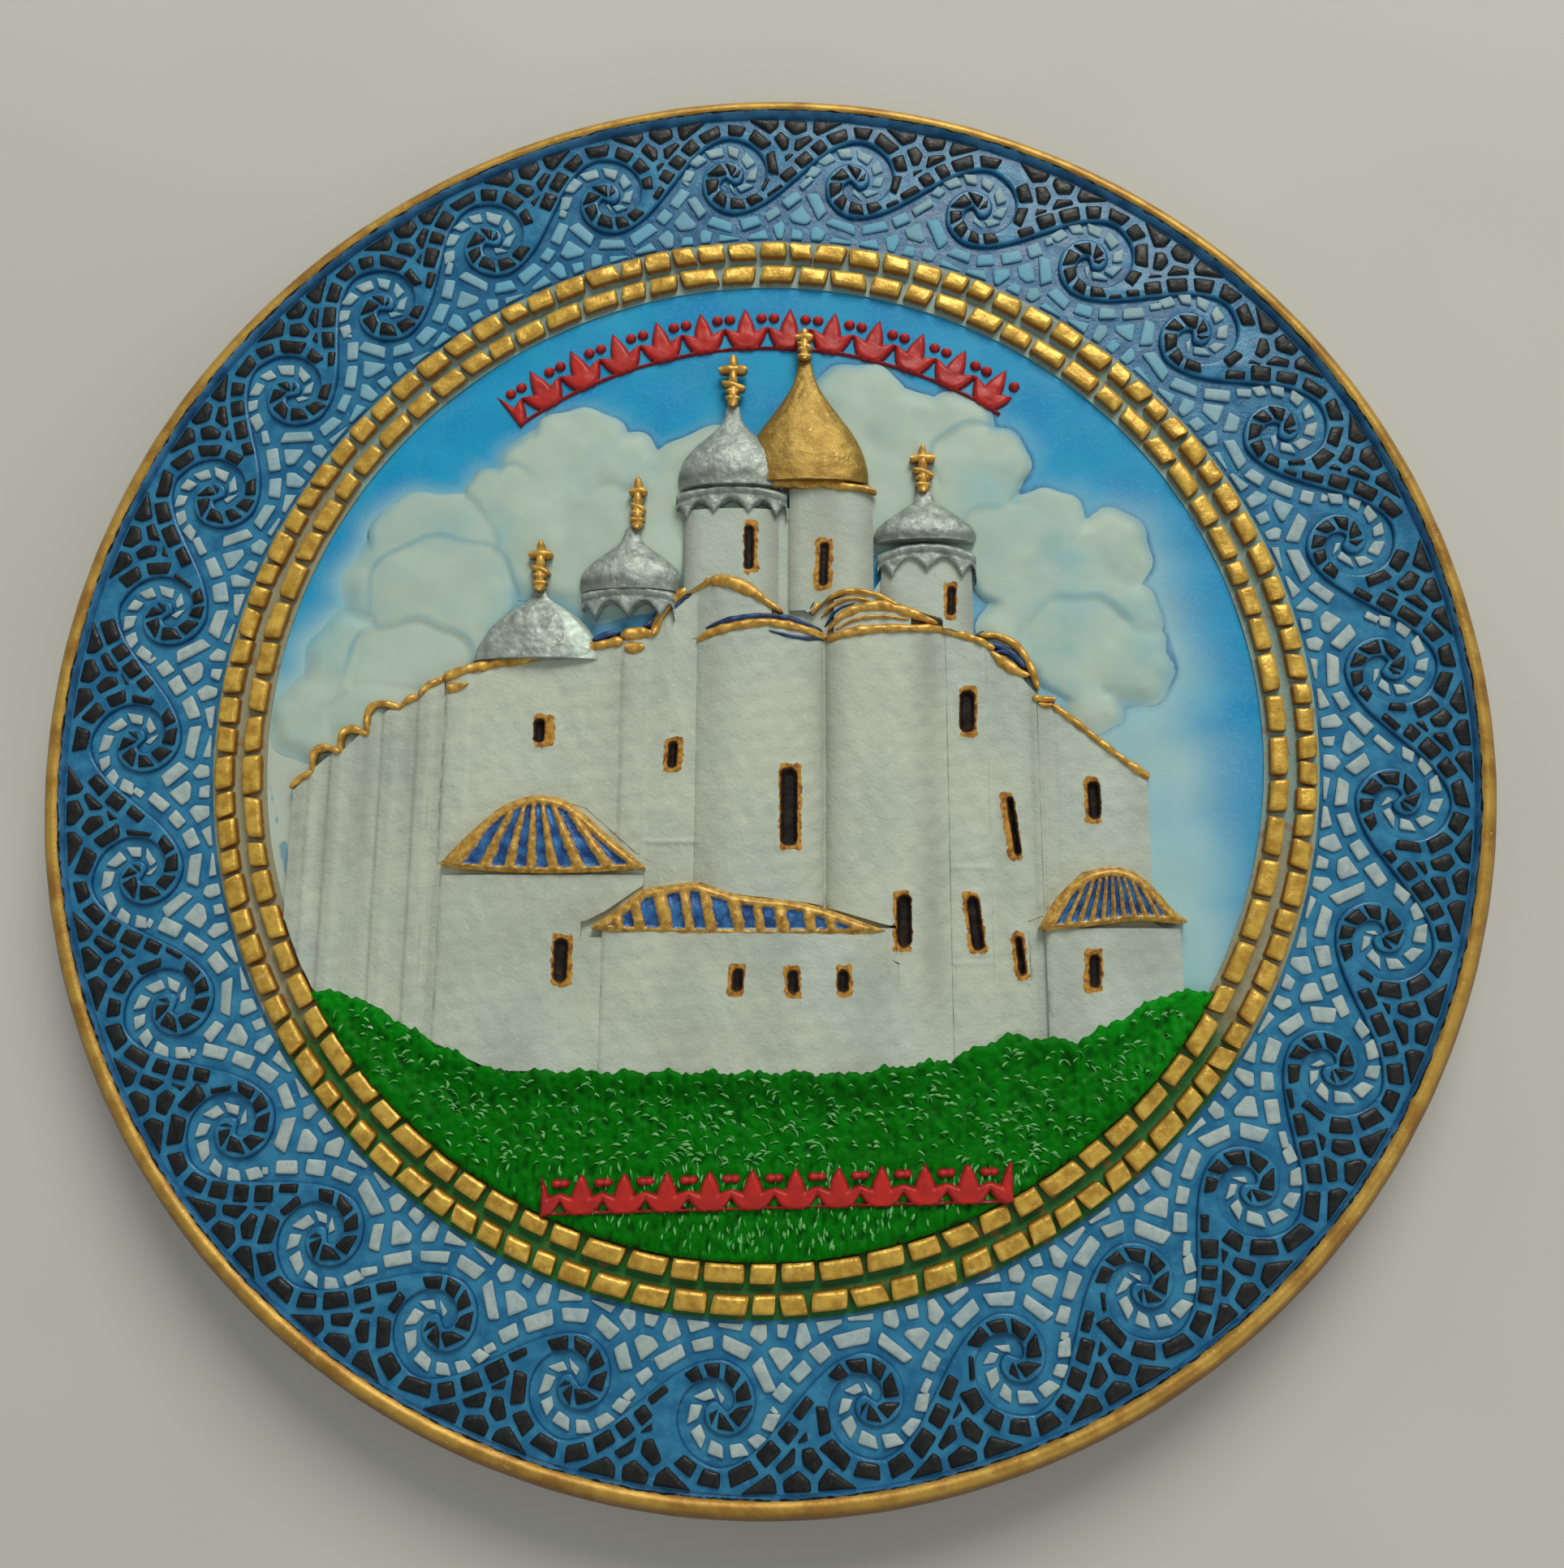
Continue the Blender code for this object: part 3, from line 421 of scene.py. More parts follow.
def wave_line(pace):
    """One wave's line in plan at a pace in millimetres, with unit normals to its light side."""
    pitch = 2 * math.pi * EYE_RADIUS / WAVES
    parts = 60
    raw = []
    for k in range(parts, 0, -1):
        quarter = 3.75 * k / parts
        radius = WAVE_DIP - DIP_COIL * quarter
        angle = math.radians(270 - 90 * quarter)
        raw.append((radius * math.cos(angle), radius * math.sin(angle)))
    for k in range(parts):
        t = k / parts
        fall = 2 * t ** 3 - 3 * t ** 2 + 1
        lift = 3 * t ** 2 - 2 * t ** 3
        along = pitch * lift + 26.0 * (t ** 3 - 2 * t ** 2 + t) + 18.0 * (t ** 3 - t ** 2)
        raw.append((along, -WAVE_DIP * fall + WAVE_TOP * lift))
    for k in range(parts + 1):
        quarter = 3.25 * k / parts
        radius = WAVE_TOP - TOP_COIL * quarter
        angle = math.radians(90 - 90 * quarter)
        raw.append((pitch + radius * math.cos(angle), radius * math.sin(angle)))
    plan = np.array([by_eye(along, up) for along, up in raw])
    length = np.concatenate([[0], np.cumsum(np.hypot(*np.diff(plan, axis=0).T))])
    stops = np.linspace(0, length[-1], int(length[-1] / pace) + 1)
    line = np.stack([np.interp(stops, length, plan[:, i]) for i in (0, 1)], -1)
    along = np.gradient(line, axis=0)
    along /= np.linalg.norm(along, axis=1)[:, None]
    return line, np.stack([along[:, 1], -along[:, 0]], -1), stops


LINE, LINE_SIDE, LINE_STOPS = wave_line(0.3)
LINE_LENGTH = LINE_STOPS[-1]


def turned(points, wave):
    """Plan points moved on by a number of waves."""
    angle = -2 * math.pi * wave / WAVES
    c, s = math.cos(angle), math.sin(angle)
    points = np.asarray(points, float)
    return np.stack([points[..., 0] * c - points[..., 1] * s,
                     points[..., 0] * s + points[..., 1] * c], -1)


def on_line(stop, aside):
    """A plan point beside the line; aside is positive on the light side."""
    spot = [np.interp(stop, LINE_STOPS, LINE[:, i]) for i in (0, 1)]
    side = [np.interp(stop, LINE_STOPS, LINE_SIDE[:, i]) for i in (0, 1)]
    return np.array(spot) + aside * np.array(side)


# ---- tesserae -----------------------------------------------------------------------
def area(outline):
    """Signed area of an outline, positive when it runs counter-clockwise."""
    x, y = np.asarray(outline, float).T
    return 0.5 * float(np.dot(x, np.roll(y, -1)) - np.dot(y, np.roll(x, -1)))


def clip(outline, point, normal):
    """The part of a convex outline on the side of a line that its normal points to."""
    kept = []
    count = len(outline)
    for k in range(count):
        a = outline[k]
        b = outline[(k + 1) % count]
        da = float(np.dot(a - point, normal))
        db = float(np.dot(b - point, normal))
        if da >= 0:
            kept.append(a)
        if da * db < 0:
            kept.append(a + (b - a) * da / (da - db))
    return kept


def inset(outline, distance):
    """A counter-clockwise convex outline with every edge moved in; None if it vanishes."""
    count = len(outline)
    moved = []
    for k in range(count):
        into = outline[k] - outline[k - 1]
        out = outline[(k + 1) % count] - outline[k]
        into = into / max(np.linalg.norm(into), 1e-9)
        out = out / max(np.linalg.norm(out), 1e-9)
        mitre = np.array([-into[1] - out[1], into[0] + out[0]])
        mitre /= max(np.linalg.norm(mitre), 1e-9)
        reach = distance / max(float(np.dot(mitre, [-out[1], out[0]])), 0.35)
        moved.append(outline[k] + mitre * reach)
    return moved


def rounded(outline, radius):
    """Each corner of an outline replaced by three points of a curve."""
    count = len(outline)
    points = []
    for k in range(count):
        here = outline[k]
        before = outline[k - 1] - here
        after = outline[(k + 1) % count] - here
        a = here + before * min(0.4, radius / max(np.linalg.norm(before), 1e-9))
        b = here + after * min(0.4, radius / max(np.linalg.norm(after), 1e-9))
        points += [a, 0.25 * a + 0.5 * here + 0.25 * b, b]
    return points


def thickness(outline):
    """About the radius of the largest circle in a convex outline."""
    edge = sum(np.linalg.norm(outline[k] - outline[k - 1]) for k in range(len(outline)))
    return 2 * abs(area(outline)) / max(edge, 1e-6)


class Tiles:
    """Collects tesserae of one colour as one mesh."""

    def __init__(self, foot, rise, profile):
        self.foot = foot
        self.rise = rise
        self.profile = profile
        self.points = []
        self.faces = []
        self.paint = []
        self.tone = []
        self.tint = []

    def add(self, outline, rise_scale=1.0):
        outline = [np.asarray(p, float) for p in outline]
        if len(outline) < 3:
            return
        if area(outline) < 0:
            outline = outline[::-1]
        room = thickness(outline)
        if area(outline) < 0.45 or room < 0.22:
            return
        middle = sum(outline) / len(outline)
        rise = self.rise * rise_scale * DICE.uniform(0.8, 1.15) * min(1.0, 0.4 + 0.75 * room)
        tone = DICE.random()
        north = middle[1] / np.linalg.norm(middle)
        inward = (EYE_RADIUS + 8 - np.linalg.norm(middle)) / 19
        tint = smooth(0.1, 1.0, north) * (0.15 + 1.1 * inward) + DICE.uniform(-0.1, 0.12)
        tint = float(np.clip(tint, 0, 1))
        lean = (DICE.uniform(-0.04, 0.04), DICE.uniform(-0.04, 0.04))
        start = len(self.points)
        rings = []
        for share, height, paint in self.profile:
            ids = []
            for x, y in rounded(inset(outline, share * room), 0.2 * room + 0.05):
                tilt = (x - middle[0]) * lean[0] + (y - middle[1]) * lean[1]
                z = self.foot + height * (rise + tilt)
                ids.append(len(self.points))
                self.points.append((x, y, z))
                self.paint.append(paint)
            rings.append(ids)
        self.faces += skin(rings)
        self.points.append((middle[0], middle[1], self.foot + rise * 1.02))
        self.paint.append(1.0)
        centre = len(self.points) - 1
        last = rings[-1]
        for k in range(len(last)):
            self.faces.append((last[k], last[(k + 1) % len(last)], centre))
        self.faces.append(rings[0][::-1])
        made = len(self.points) - start
        self.tone += [tone] * made
        self.tint += [tint] * made

    def build(self, name, material, nodes, slot):
        marks = {"paint": self.paint, "tone": self.tone, "tint": self.tint}
        make_piece(name, self.points, self.faces, material, nodes, marks, sharp=60)


FLAT_TILE = [(0.0, -0.2, 0.0), (0.05, 0.55, 0.3), (0.14, 0.88, 0.7), (0.34, 0.98, 0.95)]
DOMED_TILE = [(0.0, -0.2, 0.0), (0.06, 0.5, 0.25), (0.2, 0.8, 0.6), (0.45, 0.95, 0.92)]


def jittered(points, amount):
    """The points, each moved a little at random."""
    return [p + np.array([DICE.uniform(-amount, amount), DICE.uniform(-amount, amount)])
            for p in points]


def channel_widths(side):
    """At each stop along the line: how far it is to the next bank on one side."""
    starts = np.concatenate([turned(LINE[:-1], wave) for wave in (-1, 0, 1)])
    ends = np.concatenate([turned(LINE[1:], wave) for wave in (-1, 0, 1)])
    edge = ends - starts
    widths = []
    for spot, normal in zip(LINE, LINE_SIDE):
        ray = normal * side
        gap = starts - spot
        cross = ray[0] * edge[:, 1] - ray[1] * edge[:, 0]
        cross = np.where(np.abs(cross) < 1e-9, 1e-9, cross)
        reach = (gap[:, 0] * edge[:, 1] - gap[:, 1] * edge[:, 0]) / cross
        along = (gap[:, 0] * ray[1] - gap[:, 1] * ray[0]) / cross
        hit = (reach > 0.8) & (along >= 0) & (along <= 1)
        widths.append(reach[hit].min() if hit.any() else 99.0)
    return np.array(widths)


CHANNELS = {side: channel_widths(side) for side in (-1, 1)}


def lane_tiles(tiles, wave, side, stops, near, far, pitch, grout):
    """A row of tesserae along one side of the wave line; two rows share a narrow channel."""
    widths = CHANNELS[side]
    at = stops[0]
    while at < stops[1] - 1.2:
        length = min(pitch * DICE.uniform(0.78, 1.22), stops[1] - at)
        a = at + 0.5 * grout
        b = at + length - 0.5 * grout
        at += length
        room = widths[int(a / LINE_STOPS[1]):int(b / LINE_STOPS[1]) + 1].min()
        if DICE.random() < 0.02:
            continue
        low = near * DICE.uniform(0.85, 1.2) * (0.72 if room < 5 else 1.0)
        high = min(far * DICE.uniform(0.94, 1.06), 0.5 * (room - 0.8 * grout))
        if high - low < 0.65:
            continue
        corners = [on_line(a, side * low), on_line(b, side * low),
                   on_line(b, side * high), on_line(a, side * high)]
        corners = jittered(corners, 0.12)
        tiles.add(turned(corners, wave))


def eye_tiles(tiles, wave, first, last, pitch, grout, banks):
    """A row of tesserae that winds clockwise into an eye; banks(quarters) gives its two radii."""
    def spot(quarters, radius):
        angle = math.radians(90 - 90 * quarters)
        return by_eye(radius * math.cos(angle), radius * math.sin(angle))

    at = first
    while at < last:
        low, high = banks(at)
        if high - low < 0.5:
            break
        per_mm = 1 / (0.5 * math.pi * 0.5 * (low + high))
        length = min(pitch * DICE.uniform(0.85, 1.15) * per_mm, 0.7)
        after = banks(at + length)
        gap = grout * per_mm
        corners = [spot(at, low), spot(at, high), spot(at + length - gap, after[1]),
                   spot(at + length - gap, min(after[0], after[1] - 0.3))]
        tiles.add(turned(jittered(corners, 0.1), wave))
        at += length


def light_banks(quarters):
    """Radii of the light row at a number of quarter turns into the eye."""
    high = WAVE_TOP - TOP_COIL * quarters - 0.95
    return max(WAVE_DIP - DIP_COIL * (quarters + 2) + 0.6, high - 1.75, 0.25), high


def dark_banks(quarters):
    """Radii of the dark row, which starts half a turn later."""
    high = WAVE_DIP - DIP_COIL * (quarters - 2) - 0.4
    return max(WAVE_TOP - TOP_COIL * quarters + 0.35, high - 2.1, 0.3), high


def nearest_branches(seed, reach):
    """Points of the wave lines where the distance to the seed is smallest, on each branch."""
    found = []
    for wave in (-1, 0, 1):
        line = turned(LINE, wave)
        normal = turned(LINE_SIDE, wave)
        gap = np.hypot(*(line - seed).T)
        low = (gap[1:-1] <= gap[:-2]) & (gap[1:-1] <= gap[2:]) & (gap[1:-1] < reach)
        for k in np.nonzero(low)[0] + 1:
            found.append((line[k], normal[k]))
    return found


def filler_tiles(tiles, wave, side, seeds, lane, grout, ends):
    """Tesserae that fill the space between the rows, cut like a Voronoi diagram."""
    spots = []
    for turn in (-1, 0, 1):
        for along, up in seeds:
            spots.append((turn, turned(np.array(by_eye(along, up)), turn)))
    shifts = {}
    for _, spot in spots:
        shifts[tuple(np.round(spot, 3))] = jittered([spot], 0.35)[0]
    moved = [(turn, shifts[tuple(np.round(spot, 3))]) for turn, spot in spots]
    for turn, seed in moved:
        if turn != 0:
            continue
        outline = [seed + np.array(corner) for corner in ring(4.5, 8)]
        for _, other in moved:
            gap = np.linalg.norm(other - seed)
            if 0.05 < gap < 9:
                toward = (other - seed) / gap
                outline = clip(outline, seed + toward * (0.5 * gap - 0.5 * grout), -toward)
        for spot, normal in nearest_branches(seed, 8.5):
            outward = normal * side
            if np.dot(seed - spot, outward) > 0 and len(outline) > 2:
                outline = clip(outline, spot + outward * (lane + 0.6 * grout), outward)
        radial = seed / np.linalg.norm(seed)
        for radius, inward in ((ends[0], radial), (ends[1], -radial)):
            if len(outline) > 2:
                outline = clip(outline, radial * radius, inward)
        if len(outline) > 2:
            tiles.add(turned(jittered(outline, 0.08), wave), 0.9)


# Middles of the filling tesserae beside an eye: (along the border, outwards).
LIGHT_FILLERS = [(-7.9, -6.6), (-5.0, -9.4), (-8.2, -9.4), (-11.3, -8.9), (-14.4, -10.0), (-1.6, -10.1)]
DARK_FILLERS = [(8.9, 2.4), (7.6, 5.9), (10.9, 6.1), (9.6, 8.7), (5.4, 8.9), (13.4, 8.9)]


def tesserae():
    """Every white and black tessera of the border."""
    light = Tiles(LIGHT_Z - 0.1, 0.55, FLAT_TILE)
    dark = Tiles(PLATEAU_Z - 0.1, 0.62, DOMED_TILE)
    for wave in range(WAVES):
        lane_tiles(light, wave, 1, (10.8, LINE_LENGTH - 31.0), 1.0, 2.95, 3.7, 0.85)
        lane_tiles(dark, wave, -1, (22.6, LINE_LENGTH - 8.0), 0.5, 2.6, 3.2, 0.75)
        eye_tiles(light, wave, -0.95, 2.5, 2.9, 0.8, light_banks)
        eye_tiles(dark, wave, 1.4, 5.0, 3.0, 0.7, dark_banks)
        filler_tiles(light, wave, 1, LIGHT_FILLERS, 3.0, 1.05, (FIELD_INNER + 0.7, FIELD_OUTER))
        filler_tiles(dark, wave, -1, DARK_FILLERS, 2.65, 0.8, (FIELD_INNER, WAVE_OUTER + 0.6))
    light.build("light_tesserae", light_tiles_paint(), [], "whitewash")
    dark.build("dark_tesserae", dark_tiles_paint(), [], "border_dark")


# ---- border ground ------------------------------------------------------------------
def border_floor(material):
    """The lower, light field: a turned ring with slow dents."""
    rows = np.linspace(FIELD_INNER - 0.1, LIP_INNER + 0.2, 22)
    section = [(rows[0], GROUND_BASE)] + [(r, LIGHT_Z) for r in rows] + [(rows[-1], GROUND_BASE)]

    def wobble(turn, radius, height):
        top = (height > GROUND_BASE + 0.1) * 1.0
        sway = ripple(turn + radius * 0.35, 0.06, (23, 37, 61, 88), 5)
        edge = 0.35 * smooth(FIELD_OUTER - 0.8, FIELD_OUTER + 0.2, radius)
        return 0 * radius, top * (sway - edge)

    points, faces, turn, radius = lathe(section, RING_STEPS, wobble)
    north = np.sin(turn)
    # Painted shade at the foot of the lip and beside the bricks, and darker airbrushed blue towards the
    # top.
    shade_and_airbrush = 0.75 * smooth(96.6, 97.9, radius) + 0.45 * smooth(0.2, 1.0, north) * smooth(96, 84, radius)
    shade_and_airbrush = shade_and_airbrush + 0.5 * smooth(78.2, 77.2, radius)
    make_piece("border_light_ground", points, faces, material, ["border_light_field"],
               {"shade_and_airbrush": np.clip(shade_and_airbrush, 0, 1)})


def wave_plateau(material):
    """The raised dark field: its edge is the wave line, softened like a cast step."""
    # The last number of each step, and of each rim ring below, is painted shade: darkest at the foot of the
    # step and where the rim drops towards the lip.
    steps = [(0.0, GROUND_BASE - LIGHT_Z, 1.0), (0.03, 0.3, 0.9), (0.12, 0.55, 0.45), (0.32, 0.68, 0.1),
             (0.55, 0.7, 0.0)]
    rings = []
    marks = []
    points = []
    for aside, height, shade_and_airbrush in steps:
        ids = []
        for wave in range(WAVES):
            for spot in turned(LINE - aside * LINE_SIDE, wave):
                ids.append(len(points))
                points.append((spot[0], spot[1], LIGHT_Z + height))
                marks.append(shade_and_airbrush)
        rings.append(ids)
    rim = []
    for drop, radius, shade_and_airbrush in ((0.0, WAVE_OUTER + 0.7, 0.15), (0.25, WAVE_OUTER + 1.3, 0.6)):
        rim += id_rows(len(points), RING_STEPS, 1)
        points += [(*spot, PLATEAU_Z - drop) for spot in ring(radius, RING_STEPS)]
        marks += [shade_and_airbrush] * RING_STEPS
    faces = skin(rings) + skin(rim)
    inner = [Vector(points[i][:2]).to_3d() for i in rings[-1]]
    outer = [Vector(points[i][:2]).to_3d() for i in rim[0]]
    order = rim[0] + rings[-1]
    for a, b, c in tessellate_polygon([outer, inner]):
        faces.append((order[a], order[b], order[c]))
    make_piece("border_dark_ground", points, faces, material, ["border_dark_waves"],
               {"shade_and_airbrush": marks}, sharp=75)


# ---- bricks -------------------------------------------------------------------------
def compass(turn):
    """Marks above 0 in the top and in the bottom of the picture."""
    return {"north": smooth(0.05, 0.35, np.sin(turn) + 0.4 * np.cos(turn)) - 0.5,
            "south": smooth(-0.35, -0.75, np.sin(turn)) - 0.5}


def brick_row(name, node, bricks, seed, material):
    """A row of uneven, softly rounded bricks."""
    dice = random.Random(seed)
    inner, outer = radii_of(node)
    crown = top_of(node)
    foot = LIGHT_Z - 0.2
    cuts = [0.0]
    for _ in range(bricks):
        cuts.append(cuts[-1] + dice.uniform(0.78, 1.22))
    scale = 2 * math.pi / cuts[-1]
    across = 7                  # points of a brick across and along the row
    length = 9
    points = []
    faces = []
    paint = []
    for k in range(bricks):
        a = cuts[k] * scale
        b = cuts[k + 1] * scale
        joint = dice.uniform(0.12, 0.34) / outer
        a += joint
        b -= joint
        low = inner - dice.uniform(0.0, 0.3)
        high = outer + dice.uniform(0.0, 0.26)
        rise = (crown - foot) * dice.uniform(0.86, 1.0)
        skew = dice.uniform(-0.006, 0.006)
        start = len(points)
        for i in range(length):
            s = i / (length - 1)
            for j in range(across):
                t = j / (across - 1)
                u = 2 * s - 1
                v = 2 * t - 1
                soft_s = math.copysign(1 - (1 - abs(u)) ** 1.6, u) * 0.5 + 0.5
                soft_t = math.copysign(1 - (1 - abs(v)) ** 1.4, v) * 0.5 + 0.5
                dome = (1 - abs(u) ** 9) ** 0.4 * (1 - abs(v) ** 5) ** 0.45
                corner = 0.05 * abs(v) ** 3
                angle = a + (b - a) * (soft_s * (1 - 2 * corner) + corner) + skew * v
                radius = low + (high - low) * soft_t
                lumps = 0.08 * math.sin(5 * s + 3 * k) * math.cos(4 * t + k)
                points.append((*polar(radius, angle), foot + rise * dome * (0.95 + lumps)))
                paint.append(dome)
        faces += skin(id_rows(start, across, length), closed=False, flipped=True)
    xyz = np.array(points)
    marks = compass(np.arctan2(xyz[:, 1], xyz[:, 0]))
    marks["paint"] = paint
    make_piece(name, points, faces, material, [node], marks, sharp=80)


def brick_bed(material):
    """The bed under the two rows of bricks, painted like the joints."""
    inner = SKY_RADIUS - 0.3
    outer = FIELD_INNER + 0.3
    groove = 73.6               # radius of the groove between the rows
    section = [(inner, GROUND_BASE), (inner, LIGHT_Z + 0.05), (groove - 0.6, LIGHT_Z + 0.1),
               (groove, LIGHT_Z - 0.15), (groove + 0.5, LIGHT_Z + 0.1), (outer, LIGHT_Z + 0.05),
               (outer, GROUND_BASE)]
    points, faces, turn, _ = lathe(section, 480)
    make_piece("brick_bed", points, faces, material, [], compass(turn))


# ---- lip, casting and loop ----------------------------------------------------------
def gold_lip(material):
    crest = LIP_CREST
    low = span("rim_lip")[0].z
    section = [(LIP_INNER - 0.1, low + 0.1), (98.0, LIGHT_Z), (98.2, crest - 1.2),
               (98.5, crest - 0.55), (98.85, crest - 0.2), (99.2, crest - 0.03),
               (99.5, crest), (99.9, crest - 0.08), (100.3, crest - 0.36), (100.7, crest - 0.85),
               (101.1, crest - 1.6), (101.35, crest - 2.4), (LIP_OUTER, crest - 3.2),
               (101.3, crest - 3.9), (100.7, crest - 4.7), (99.6, low + 0.9), (98.4, low + 0.15)]

    def wobble(turn, radius, height):
        out = ripple(turn, 0.05, (7, 19, 43, 71), 3)
        out = np.minimum(out, LIP_OUTER - radius)
        up = ripple(turn, 0.07, (5, 17, 31, 97), 8) * smooth(low + 2, crest, height)
        return out, np.minimum(up, crest + 0.08 - height)

    points, faces, turn, radius = lathe(section, 1080, wobble)
    height = points[:, 2]
    leaf = radius - 98.7 - 0.2 * np.sin(turn)
    leaf[height < LIGHT_Z] = 1.0
    # Painted shade on the outer flank of the lip, strongest at the bottom.
    flank_shade = smooth(99.9, 100.8, radius) * (0.65 - 0.55 * np.sin(turn))
    make_piece("gold_lip", points, faces, material, ["rim_lip"],
               {"leaf": leaf, "flank_shade": np.clip(flank_shade, 0, 1)}, sharp=70)


def cast_back(material):
    """The casting: soft foot ring, shallow dish in the middle, worn outer slope."""
    high = span("plate_body")[1]
    foot_in, foot_out = 60.0, 70.0
    x, y, z = node_points("plate_body").T
    recess = z[np.hypot(x, y) < foot_in - 1].min()
    edge = high.x
    profile = [(0.0, recess - 0.35)]
    profile += [(r, recess - 0.35 * math.cos(0.5 * math.pi * r / 57.0))
                for r in (8, 16, 24, 32, 40, 48, 54)]
    profile += [(foot_in - 3.2, recess - 0.05), (foot_in - 2.4, recess - 0.5), (foot_in - 0.9, 1.2),
                (foot_in + 0.1, 0.35), (foot_in + 0.9, 0.0), (foot_out - 0.9, 0.0), (foot_out - 0.2, 0.2),
                (foot_out + 0.9, 0.75)]
    for k in range(1, 12):
        share = k / 12
        profile.append((foot_out + 0.9 + (edge - foot_out - 0.9) * share, 0.75 + 5.45 * share ** 0.9))
    profile += [(edge, 6.25), (edge, high.z), (0.0, high.z)]
    steps = 360
    section = profile[1:-1]
    points = []
    for k in range(steps):
        angle = 2 * math.pi * k / steps
        for radius, z in section:
            points.append((*polar(radius, angle), z))
    rows = id_rows(0, len(section), steps)
    rows.append(rows[0])
    faces = skin(rows, closed=False)
    points.append((0, 0, profile[0][1]))
    points.append((0, 0, profile[-1][1]))
    for here, after in zip(rows, rows[1:]):
        faces.append((here[0], after[0], len(points) - 2))
        faces.append((after[-1], here[-1], len(points) - 1))
    xyz = np.array(points)
    rim = np.hypot(xyz[:, 0], xyz[:, 1]) - 94.5
    make_piece("cast_back", points, faces, material, ["plate_body"], {"rim": rim}, sharp=60)


def wire_loop(material):
    """The hanging wire along the CAD loop's own route, with a finer round section."""
    low, high = span("hanging_loop")
    wire = 0.8                  # radius of the wire
    bend = 1.6                  # of the bend where it leaves the casting
    half = high.x - wire
    level = low.z + wire
    bend_y = high.y - wire - half
    root_y = low.y + wire
    route = [(half, root_y, high.z - 0.2)]
    for k in range(7):
        a = 0.5 * math.pi * k / 6
        route.append((half, root_y + bend * (1 - math.cos(a)), level + bend * (1 - math.sin(a))))
    for k in range(33):
        x, y = polar(half, math.pi * k / 32)
        route.append((x, bend_y + y, level))
    route += [(-x, y, z) for x, y, z in reversed(route[:8])]
    curve = bpy.data.curves.new("hanging_wire", "CURVE")
    curve.dimensions = "3D"
    curve.bevel_depth = wire * MM
    curve.bevel_resolution = 5
    curve.use_fill_caps = True
    spline = curve.splines.new("POLY")
    spline.points.add(len(route) - 1)
    for point, place in zip(spline.points, route):
        point.co = (*(c * MM for c in place), 1.0)
    curve.materials.append(material)
    piece = added("hanging_wire", curve)
    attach(piece, "root")
    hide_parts("hanging_loop")


# ---- moulded forms of the picture ---------------------------------------------------
def outline_of(node):
    """The outline of a CAD node's flat underside, as plan points in order."""
    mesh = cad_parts[node].data
    points = np.round(node_points(node), 3)
    base = points[:, 2].min() + 0.02
    edges = {}
    for face in mesh.polygons:
        corners = [tuple(points[i][:2]) for i in face.vertices if points[i][2] < base]
        if len(corners) == len(face.vertices):
            for a, b in zip(corners, corners[1:] + corners[:1]):
                if a != b:
                    edges[(a, b)] = edges.get((a, b), 0) + 1
    after = {a: b for a, b in edges if (b, a) not in edges}
    loops = []
    while after:
        start, here = after.popitem()
        loop = [start]
        while here != start and here in after:
            loop.append(here)
            here = after.pop(here)
        loops.append(loop)
    return max(loops, key=lambda loop: abs(area(loop)))


def edges_at(outline, x):
    """Lowest and highest y of a closed outline at each x."""
    outline = np.asarray(outline, float)
    low = np.full(np.shape(x), 1e9)
    high = np.full(np.shape(x), -1e9)
    for (ax, ay), (bx, by) in zip(outline, np.roll(outline, -1, 0)):
        if abs(bx - ax) < 1e-6:
            continue
        t = (x - ax) / (bx - ax)
        here = (t >= 0) & (t <= 1)
        y = ay + t * (by - ay)
        low = np.where(here, np.minimum(low, y), low)
        high = np.where(here, np.maximum(high, y), high)
    return low, high


def column(node, grow=0.8, side=0.2):
    """A wall-like node's shape, reaching a little under its neighbours, and its bounds."""
    outline = np.array(outline_of(node))
    first, last = outline[:, 0].min(), outline[:, 0].max()
    places = np.linspace(first + 0.02, last - 0.02, 200)
    low, high = edges_at(outline, places)
    left, right = first - side, last + side

    def inside(x, y):
        """Distance inside, positive within the shape."""
        bottom = np.interp(x, places, low) - grow
        top = np.interp(x, places, high) + grow
        return np.minimum.reduce([x - left, right - x, y - bottom, top - y])
    return inside, (left, low.min() - grow, right, high.max() + grow)


def closed_shape(points):
    """Signed distance to a closed outline, positive inside."""
    points = np.asarray(points, float)
    ends = np.roll(points, -1, 0)

    def inside(x, y):
        near = np.full(np.shape(x), 1e9)
        odd = np.zeros(np.shape(x), bool)
        for (ax, ay), (bx, by) in zip(points, ends):
            dx, dy = bx - ax, by - ay
            t = np.clip(((x - ax) * dx + (y - ay) * dy) / max(dx * dx + dy * dy, 1e-9), 0, 1)
            near = np.minimum(near, (x - ax - t * dx) ** 2 + (y - ay - t * dy) ** 2)
            if ay != by:
                odd ^= ((ay > y) != (by > y)) & (x < dx * (y - ay) / dy + ax)
        return np.where(odd, 1.0, -1.0) * np.sqrt(near)
    return inside


def rectangle(left, bottom, right, top):
    """Distance inside an upright rectangle."""
    return lambda x, y: np.minimum.reduce([x - left, right - x, y - bottom, top - y])


def joined(node, grow, other):
    """Distance inside a CAD node's grown outline or another shape."""
    shape = closed_shape(outline_of(node))
    return lambda x, y: np.maximum(shape(x, y) + grow, other(x, y))


